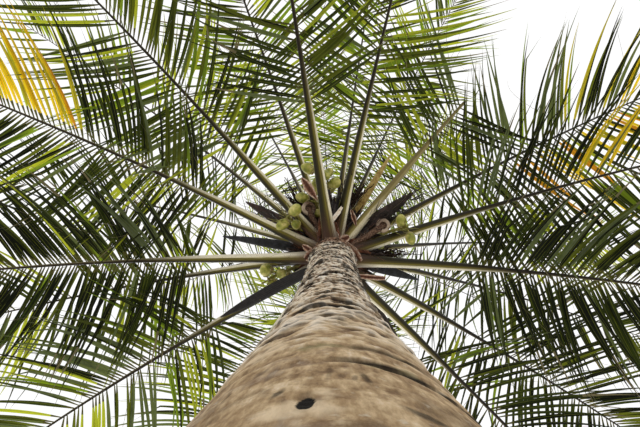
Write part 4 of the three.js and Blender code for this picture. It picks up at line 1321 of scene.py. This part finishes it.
for number, bunch in enumerate(BUNCHES, start=1):
    chance = seeded(len("nut_bunch") + number - 1)
    random = np.random.default_rng(300 + number)
    path = rib_path(bunch["azimuth"], BUNCH_RISE, BUNCH_DROOP, bunch["length"], bunch["base"])
    nuts = []
    twigs = []
    spots = [
        (mix(FIRST_NUT, 1, i / (bunch["nuts"] - 1)), i * GOLDEN_ANGLE, NUT_OUTSETS[i % 2])
        for i in range(bunch["nuts"])
    ]
    for i, (share, degrees, outset) in enumerate(spots + bunch.get("more", [])):
        point, out = sprout(path, share, degrees / GOLDEN_ANGLE, 0.5)
        radius = NUT_RADIUS * mix(*NUT_SIZES, next(chance))
        if i in bunch["left_out"]:
            continue
        outset *= radius
        centre = point + out * outset
        nut = copy_form(nut_form, "nut")
        move_points(nut, set_on(points_of(nut), centre, out, radius))
        nuts.append(nut)
        twig_spine = point + out * np.linspace(0, outset - radius, 4)[:, None]
        twigs.append(tube(twig_spine, [NUT_TWIG_RADIUS * 1.2, NUT_TWIG_RADIUS, NUT_TWIG_RADIUS, 0.009]))
    for i in range(SPARE_TWIGS):
        point, out = sprout(path, random.uniform(0.5, 1), i, random.uniform(0.8, 2.2))
        spine = wavy_spine(point, out, random.uniform(0.09, 0.2), 9, random, 0.0025, 0.3)
        twigs.append(tube(spine, np.linspace(0.0035, 0.0015, 9) * random.uniform(0.8, 1.3, 9)))
    finish_piece(join_pieces(f"nut_bunch_{number}_nuts", nuts), None, "nut", f"nut_bunch_{number}")
    stalk = bend_rod("stalk", path, 1, np.linspace(*BUNCH_STALK_RADII, 5), 0.10)
    twig_piece = piece_from("twigs", *join_parts(twigs))
    stalk = join_pieces(f"nut_bunch_{number}_stalk", [stalk, twig_piece])
    bpy.ops.object.shade_smooth_by_angle(angle=math.radians(60))
    finish_piece(stalk, bunch_rind, "nut", f"nut_bunch_{number}")
bpy.data.objects.remove(nut_form)


# Spathes
# Woody, boat-shaped sheaths that once held the flower stalks, now dry: ribbed along their length, open on top
# and beaked. A flat grid is rolled into the boat, bent along its own line and given its thickness.
# Each has its azimuth, length, base above the trunk, rise, width, look and number of fringe twigs.
SPATHES = [
    (-152, 0.76, 0.36, 26, 0.104, "maroon", 40),
    (-172, 0.76, 0.265, 14, 0.070, "slate", 0),
    (152, 0.78, 0.046, 6, 0.080, "black", 0),
    (18, 0.62, 0.25, 16, 0.080, "slate", 0),
    (-34, 0.76, 0.33, 26, 0.112, "maroon", 150),
    (-57, 0.9, 0.34, 30, 0.066, "tan", 0),
    (54, 0.9, 0.33, 20, 0.084, "dark", 0),
    (-110, 0.56, 0.345, 30, 0.092, "rust", 0),
]
SPATHE_DROOP = 14
SPATHE_DEPTH_SHARE = 0.44  # of its width
SPATHE_WALL = 0.005
SPATHE_COLUMNS, SPATHE_ROWS = 44, 44
SPATHE_RIBS = 11
SPATHE_RIB_DEPTH = 0.0016
# Each look: dark, middle and light tone of the dry wood
SPATHE_LOOKS = {
    "maroon": ("#150c0a", "#2e1c17", "#58403a"),
    "slate": ("#0a0a0c", "#17181d", "#35373f"),
    "dark": ("#0f0b09", "#221914", "#4c3d34"),
    "black": ("#060405", "#110d0e", "#2b2526"),
    "tan": ("#6a4a22", "#a98a47", "#d1bd78"),
    "rust": ("#46200f", "#83452a", "#b98363"),
}


def dry_sheath(name, tones):
    """Dry sheath wood: dull, weathered and streaked along its ribs, with paler rubbed spots."""
    wood, place = new_material(name)
    rib = add_node(wood, "Attribute", out="Fac", attribute_name="rib")
    # Blotches 30 mm across
    blotch = add_node(wood, "TexNoise", {"Vector": place, "Scale": 32.0, "Detail": 5.0, "Roughness": 0.65})
    both = add_node(wood, "Math", {0: rib, 1: 0.22, 2: blotch}, operation="MULTIPLY_ADD")
    tone = add_node(wood, "ValToRGB", {0: both}, [(0.36, tones[0]), (0.82, tones[2]), (0.6, tones[1])])
    bump = add_node(wood, "Bump", {"Height": blotch, "Strength": 0.5, "Distance": 0.002})
    finish_material(wood, {"Base Color": tone, "Normal": bump, "Roughness": 0.62, "IOR": 1.5})
    return wood


sheath_woods = {look: dry_sheath(f"dry_sheath_{look}", tones) for look, tones in SPATHE_LOOKS.items()}
bpy.ops.object.select_all(action="DESELECT")
bpy.ops.mesh.primitive_grid_add(x_subdivisions=SPATHE_COLUMNS, y_subdivisions=SPATHE_ROWS, size=2)
boat_form = bpy.context.object
boat_form.name = "boat_form"
mark(boat_form, "rib", 0.5 + 0.5 * np.cos(points_of(boat_form)[:, 0] * SPATHE_RIBS * math.pi))
for number, (azimuth, length, base, rise, width, look, twigs) in enumerate(SPATHES, start=1):
    boat = copy_form(boat_form, f"spathe_{number}_boat")
    sheet = points_of(boat)
    u, share = sheet[:, 0], (sheet[:, 1] + 1) / 2
    path = rib_path(azimuth, rise, SPATHE_DROOP, length, base)
    point, _, top = path_at(path, share)
    fullness = np.sin(math.pi * np.clip(share, 0.015, 0.997) ** 0.8) ** 0.7
    fullness = np.maximum(fullness, 0.28 * np.clip(1 - share / 0.12, 0, 1))
    rib = SPATHE_RIB_DEPTH * fullness * np.cos(u * SPATHE_RIBS * math.pi)
    x = width / 2 * fullness * np.sin(u * math.pi / 2) * (1 - 0.08 * u**6)
    y = SPATHE_DEPTH_SHARE * width * fullness * (np.abs(u) ** 1.9 - 0.5) - rib
    ragged = 0.006 * noise_at(np.stack([u, share * 14, 0 * u + number], axis=-1), 1, 1, 1) * u**8
    move_points(boat, point + path["side"] * x[:, None] + top * (y + ragged)[:, None])
    only(boat)
    apply_modifier(boat, "SOLIDIFY", thickness=SPATHE_WALL, offset=0)
    bpy.ops.object.shade_smooth_by_angle(angle=math.radians(50))
    finish_piece(boat, sheath_woods[look], "dry_sheath", f"spathe_{number}")
    if twigs == 0:
        continue
    random = np.random.default_rng(600 + number)
    fringe = []
    for _ in range(twigs):
        begin, heading, _ = path_at(path, random.uniform(0.25, 0.95))
        heading = unit(heading + random.normal(0, 0.45, 3) + np.array([0.25, 0.15, -0.15]))
        begin = begin + path["side"] * random.uniform(-0.045, 0.045)
        spine = wavy_spine(begin, heading, random.uniform(0.07, 0.24), 10, random, 0.004, 0.2)
        radii = random.uniform(0.002, 0.0045) * np.linspace(1, 0.4, 10)
        fringe.append(tube(spine, radii * random.uniform(0.7, 1.3, 10)))
    fringe_piece = piece_from(f"spathe_{number}_fringe", *join_parts(fringe))
    mark(fringe_piece, "rib", random.uniform(0, 1, len(fringe_piece.data.vertices)))
    finish_piece(fringe_piece, sheath_woods["dark"], "dry_sheath", f"spathe_{number}")
bpy.data.objects.remove(boat_form)


# Spent flower stalks
# Dry, dark brown stalks whose flowers have dropped, each a stout axis with a brush of crooked, knobbly twigs.
# The axis is a bent rod. The twigs are one joined piece, in the sheaf of the solids and many more of them.
SPENT_AZIMUTHS = (-130, -71, 9, 115)
SPENT_LENGTH = 0.33
SPENT_BASE = 0.33
SPENT_RISE, SPENT_DROOP = 40, 30
SPENT_STALK_RADII = (0.015, 0.008)
SPENT_TWIGS = 84
SPENT_TWIG_LENGTH = 0.33
SPENT_TWIG_RADIUS = 0.0050
SPENT_TWIG_STEPS = 18

# Dead twig: matt, dark grey-brown, with paler specks 8 mm across.
dead_twig = mottled_material(
    "dry_flower_twig", 120.0, 3.0, [(0.38, "#150e0b"), (0.68, "#6d5544"), (0.54, "#33221a")],
    {"Roughness": 0.92, "Specular IOR Level": 0.25},
)

for number, azimuth in enumerate(SPENT_AZIMUTHS, start=1):
    random = np.random.default_rng(500 + number)
    path = rib_path(azimuth, SPENT_RISE, SPENT_DROOP, SPENT_LENGTH, SPENT_BASE)
    twigs = []
    for i in range(SPENT_TWIGS):
        point, out = sprout(path, mix(0.5, 1, i / (SPENT_TWIGS - 1)), i, random.uniform(1.6, 4))
        length = SPENT_TWIG_LENGTH * random.uniform(0.65, 1.05)
        spine = wavy_spine(point, out, length, SPENT_TWIG_STEPS, random, 0.003, 0.12)
        knobs = np.where(np.arange(SPENT_TWIG_STEPS) % 2, 1.35, 0.75)
        knobs = knobs * random.uniform(0.8, 1.2, SPENT_TWIG_STEPS)
        twigs.append(tube(spine, SPENT_TWIG_RADIUS * knobs * np.linspace(1, 0.45, SPENT_TWIG_STEPS)))
    axis = bend_rod("axis", path, 1, np.linspace(*SPENT_STALK_RADII, 5), 0.2)
    brush = piece_from("brush", *join_parts(twigs))
    spent_piece = join_pieces(f"spent_stalk_{number}_brush", [axis, brush])
    finish_piece(spent_piece, dead_twig, "dry_twig", f"spent_stalk_{number}")


# Cut fruit stalks
# Old fruit stalks, cut off and dried: each a shaggy brown rod whose end has swollen and curled to an open cup
# with a pale rim. The cup is a short cylinder that faces down and out, its end inset and pushed in by turns.
# Each has its azimuth, length, base above the trunk, the way its cup faces, and the side of its rim that
# takes a painted highlight.
CUT_STALKS = [
    (-27, 0.42, 0.17, (-0.10, -0.25, -1.0), (0.2, 0.35)),
    (-119, 0.35, 0.215, (0.25, -0.35, -1.0), (-1.0, 1.0)),
]
CUT_RISE, CUT_DROOP = 26, -10
CUT_RADII = (0.020, 0.021, 0.020, 0.023, 0.026)
CUT_END = 0.93  # share of the path where the rod ends
CUP_RADIUS = 0.048
CUP_SIDES = 28
CUP_HEIGHT = 0.95  # of its radius, as the rest of the cup
CUP_DEPTH = 0.42
CUP_STEPS = [(0.46, 0, -1), (0.16, 0.08, 0.35), (0.12, 0.06, -0.3)]  # inset, shift, push by the depth
SHAG_STRANDS = 70

# Dried, cut stalk: pinkish-brown fibrous wood, paler on the curled rim, with a painted highlight on the rim's
# lit side, and darker inside.
dry_stalk, place = new_material("dried_cut_stalk")
pale = add_node(dry_stalk, "Attribute", out="Fac", attribute_name="pale")
fuzz = add_node(dry_stalk, "TexNoise", {"Vector": place, "Scale": 110.0, "Detail": 4.0, "Roughness": 0.65})
tone = add_node(dry_stalk, "ValToRGB", {0: fuzz}, [(0.36, "#2b1a13"), (0.68, "#a88a70"), (0.5, "#5e4132")])
rimmed = add_node(dry_stalk, "Mix", {0: pale, 6: tone, 7: colour("#e2cdb8")}, out=2, data_type="RGBA")
bump = add_node(dry_stalk, "Bump", {"Height": fuzz, "Strength": 0.6, "Distance": 0.003})
finish_material(dry_stalk, {"Base Color": rimmed, "Normal": bump, "Roughness": 0.85})


def select_top(piece, least):
    """Selects the faces whose middle is higher than a level, and looks up."""
    form = bmesh.from_edit_mesh(piece.data)
    for face in form.faces:
        face.select_set(face.normal.z > 0.5 and face.calc_center_median().z > least)
    bmesh.update_edit_mesh(piece.data)


for number, (azimuth, length, base, faces, lit_side) in enumerate(CUT_STALKS, start=1):
    random = np.random.default_rng(700 + number)
    path = rib_path(azimuth, CUT_RISE, CUT_DROOP, length, base)
    rod = bend_rod("rod", path, CUT_END, CUT_RADII, 0.22)
    mark(rod, "pale", np.zeros(len(rod.data.vertices)))
    cup = cylinder_in_rows("cup", CUP_SIDES, 1, CUP_HEIGHT, ends="NGON")
    deselect_faces(cup)
    bpy.ops.mesh.select_mode(type="FACE")
    select_top(cup, 0.9 * CUP_HEIGHT)
    for inset, shift, push in CUP_STEPS:
        bpy.ops.mesh.inset(thickness=inset)
        bpy.ops.mesh.extrude_region_move(TRANSFORM_OT_translate={"value": (shift, 0, push * CUP_DEPTH)})
    bpy.ops.object.mode_set(mode="OBJECT")
    apply_modifier(cup, "BEVEL", width=0.05, segments=2)
    apply_modifier(cup, "SUBSURF", levels=1, render_levels=1)
    form = points_of(cup)
    lip = np.clip((form[:, 2] - 0.45 * CUP_HEIGHT) / (0.4 * CUP_HEIGHT), 0, 1)
    bulge = 0.14 * np.sin(math.pi * np.clip(form[:, 2] / CUP_HEIGHT, 0, 1))
    back = np.clip(1 - form[:, 2] / (0.6 * CUP_HEIGHT), 0, 1)
    form[:, :2] *= (1.02 + bulge - 0.45 * back**1.5)[:, None]
    form *= (1 + 0.08 * noise_at(form, 0.35, 0.35, 0.35))[:, None]
    facing = unit(np.array(faces))
    end, _, _ = path_at(path, CUT_END)
    placed = set_on(form, end - facing * 0.35 * CUP_RADIUS, facing, CUP_RADIUS)
    move_points(cup, placed)
    # Painted highlight: the rim is paler on its lit side
    lit = 0.72 + (placed - placed.mean(axis=0))[:, :2] @ np.array(lit_side) / CUP_RADIUS
    on_rim = np.clip((np.hypot(form[:, 0], form[:, 1]) - 0.50) / 0.15, 0, 1)
    mark(cup, "pale", 0.9 * lip * on_rim * np.clip(lit, 0.05, 1))
    shags = []
    for _ in range(SHAG_STRANDS):
        share, turns = random.uniform(0.15, 0.85), random.integers(0, 1000)
        point, out = sprout(path, share, turns, random.uniform(0.6, 2.5))
        begin, length = point + 0.6 * CUT_RADII[0] * out, random.uniform(0.02, 0.06)
        spine = wavy_spine(begin, out, length, 5, random, 0.002, 0.4)
        shags.append(tube(spine, np.linspace(0.0014, 0.0005, 5)))
    shag = piece_from("shag", *join_parts(shags))
    mark(shag, "pale", random.uniform(0, 0.5, len(shag.data.vertices)))
    whole = join_pieces(f"cut_stalk_{number}_curl", [rod, cup, shag])
    bpy.ops.object.shade_smooth_by_angle(angle=math.radians(60))
    finish_piece(whole, dry_stalk, "fibre", f"cut_stalk_{number}")
bpy.data.objects.remove(rod_form)


# Floor, light and camera
# A plain pale floor at ground level, an even pale sky with one broad soft lamp, and a camera beside the trunk
# that looks straight up.
FLOOR_SIZE = 60
SKY_STRENGTH = 1.05
LAMP_STRENGTH = 2.3
LAMP_SOFTNESS = 20  # degrees across
CAMERA_PLACE = (0, -0.28, 1.14)
CAMERA_RISE = 85.3
LENS = 28.24  # mm on a 36 mm wide frame

bpy.ops.object.select_all(action="DESELECT")
bpy.ops.mesh.primitive_plane_add(size=FLOOR_SIZE)
floor = bpy.context.object
floor.name = "floor"
pale_floor = mottled_material(
    "pale_matt_floor", 0.8, 2.0, [(0.3, "#aeaca7"), (0.7, "#b4b2ad")], {"Roughness": 0.9}
)
floor.data.materials.append(pale_floor)

sky = bpy.data.worlds.new("pale_sky")
bpy.context.scene.world = sky
sky.use_nodes = True
background = next(n for n in sky.node_tree.nodes if n.type == "BACKGROUND")
background.inputs["Color"].default_value = (1.0, 1.0, 1.0, 1.0)
background.inputs["Strength"].default_value = SKY_STRENGTH
bpy.context.scene.view_settings.view_transform = "Standard"
bpy.ops.object.light_add(type="SUN", rotation=(math.radians(-38), math.radians(-28), 0))
lamp = bpy.context.object
lamp.data.energy = LAMP_STRENGTH
lamp.data.angle = math.radians(LAMP_SOFTNESS)
lamp.data.color = (1.0, 0.97, 0.9)
bpy.ops.object.camera_add(location=CAMERA_PLACE, rotation=(math.radians(90 + CAMERA_RISE), 0, 0))
camera = bpy.context.object
camera.data.lens = LENS
camera.data.clip_start = 0.01
bpy.context.scene.camera = camera
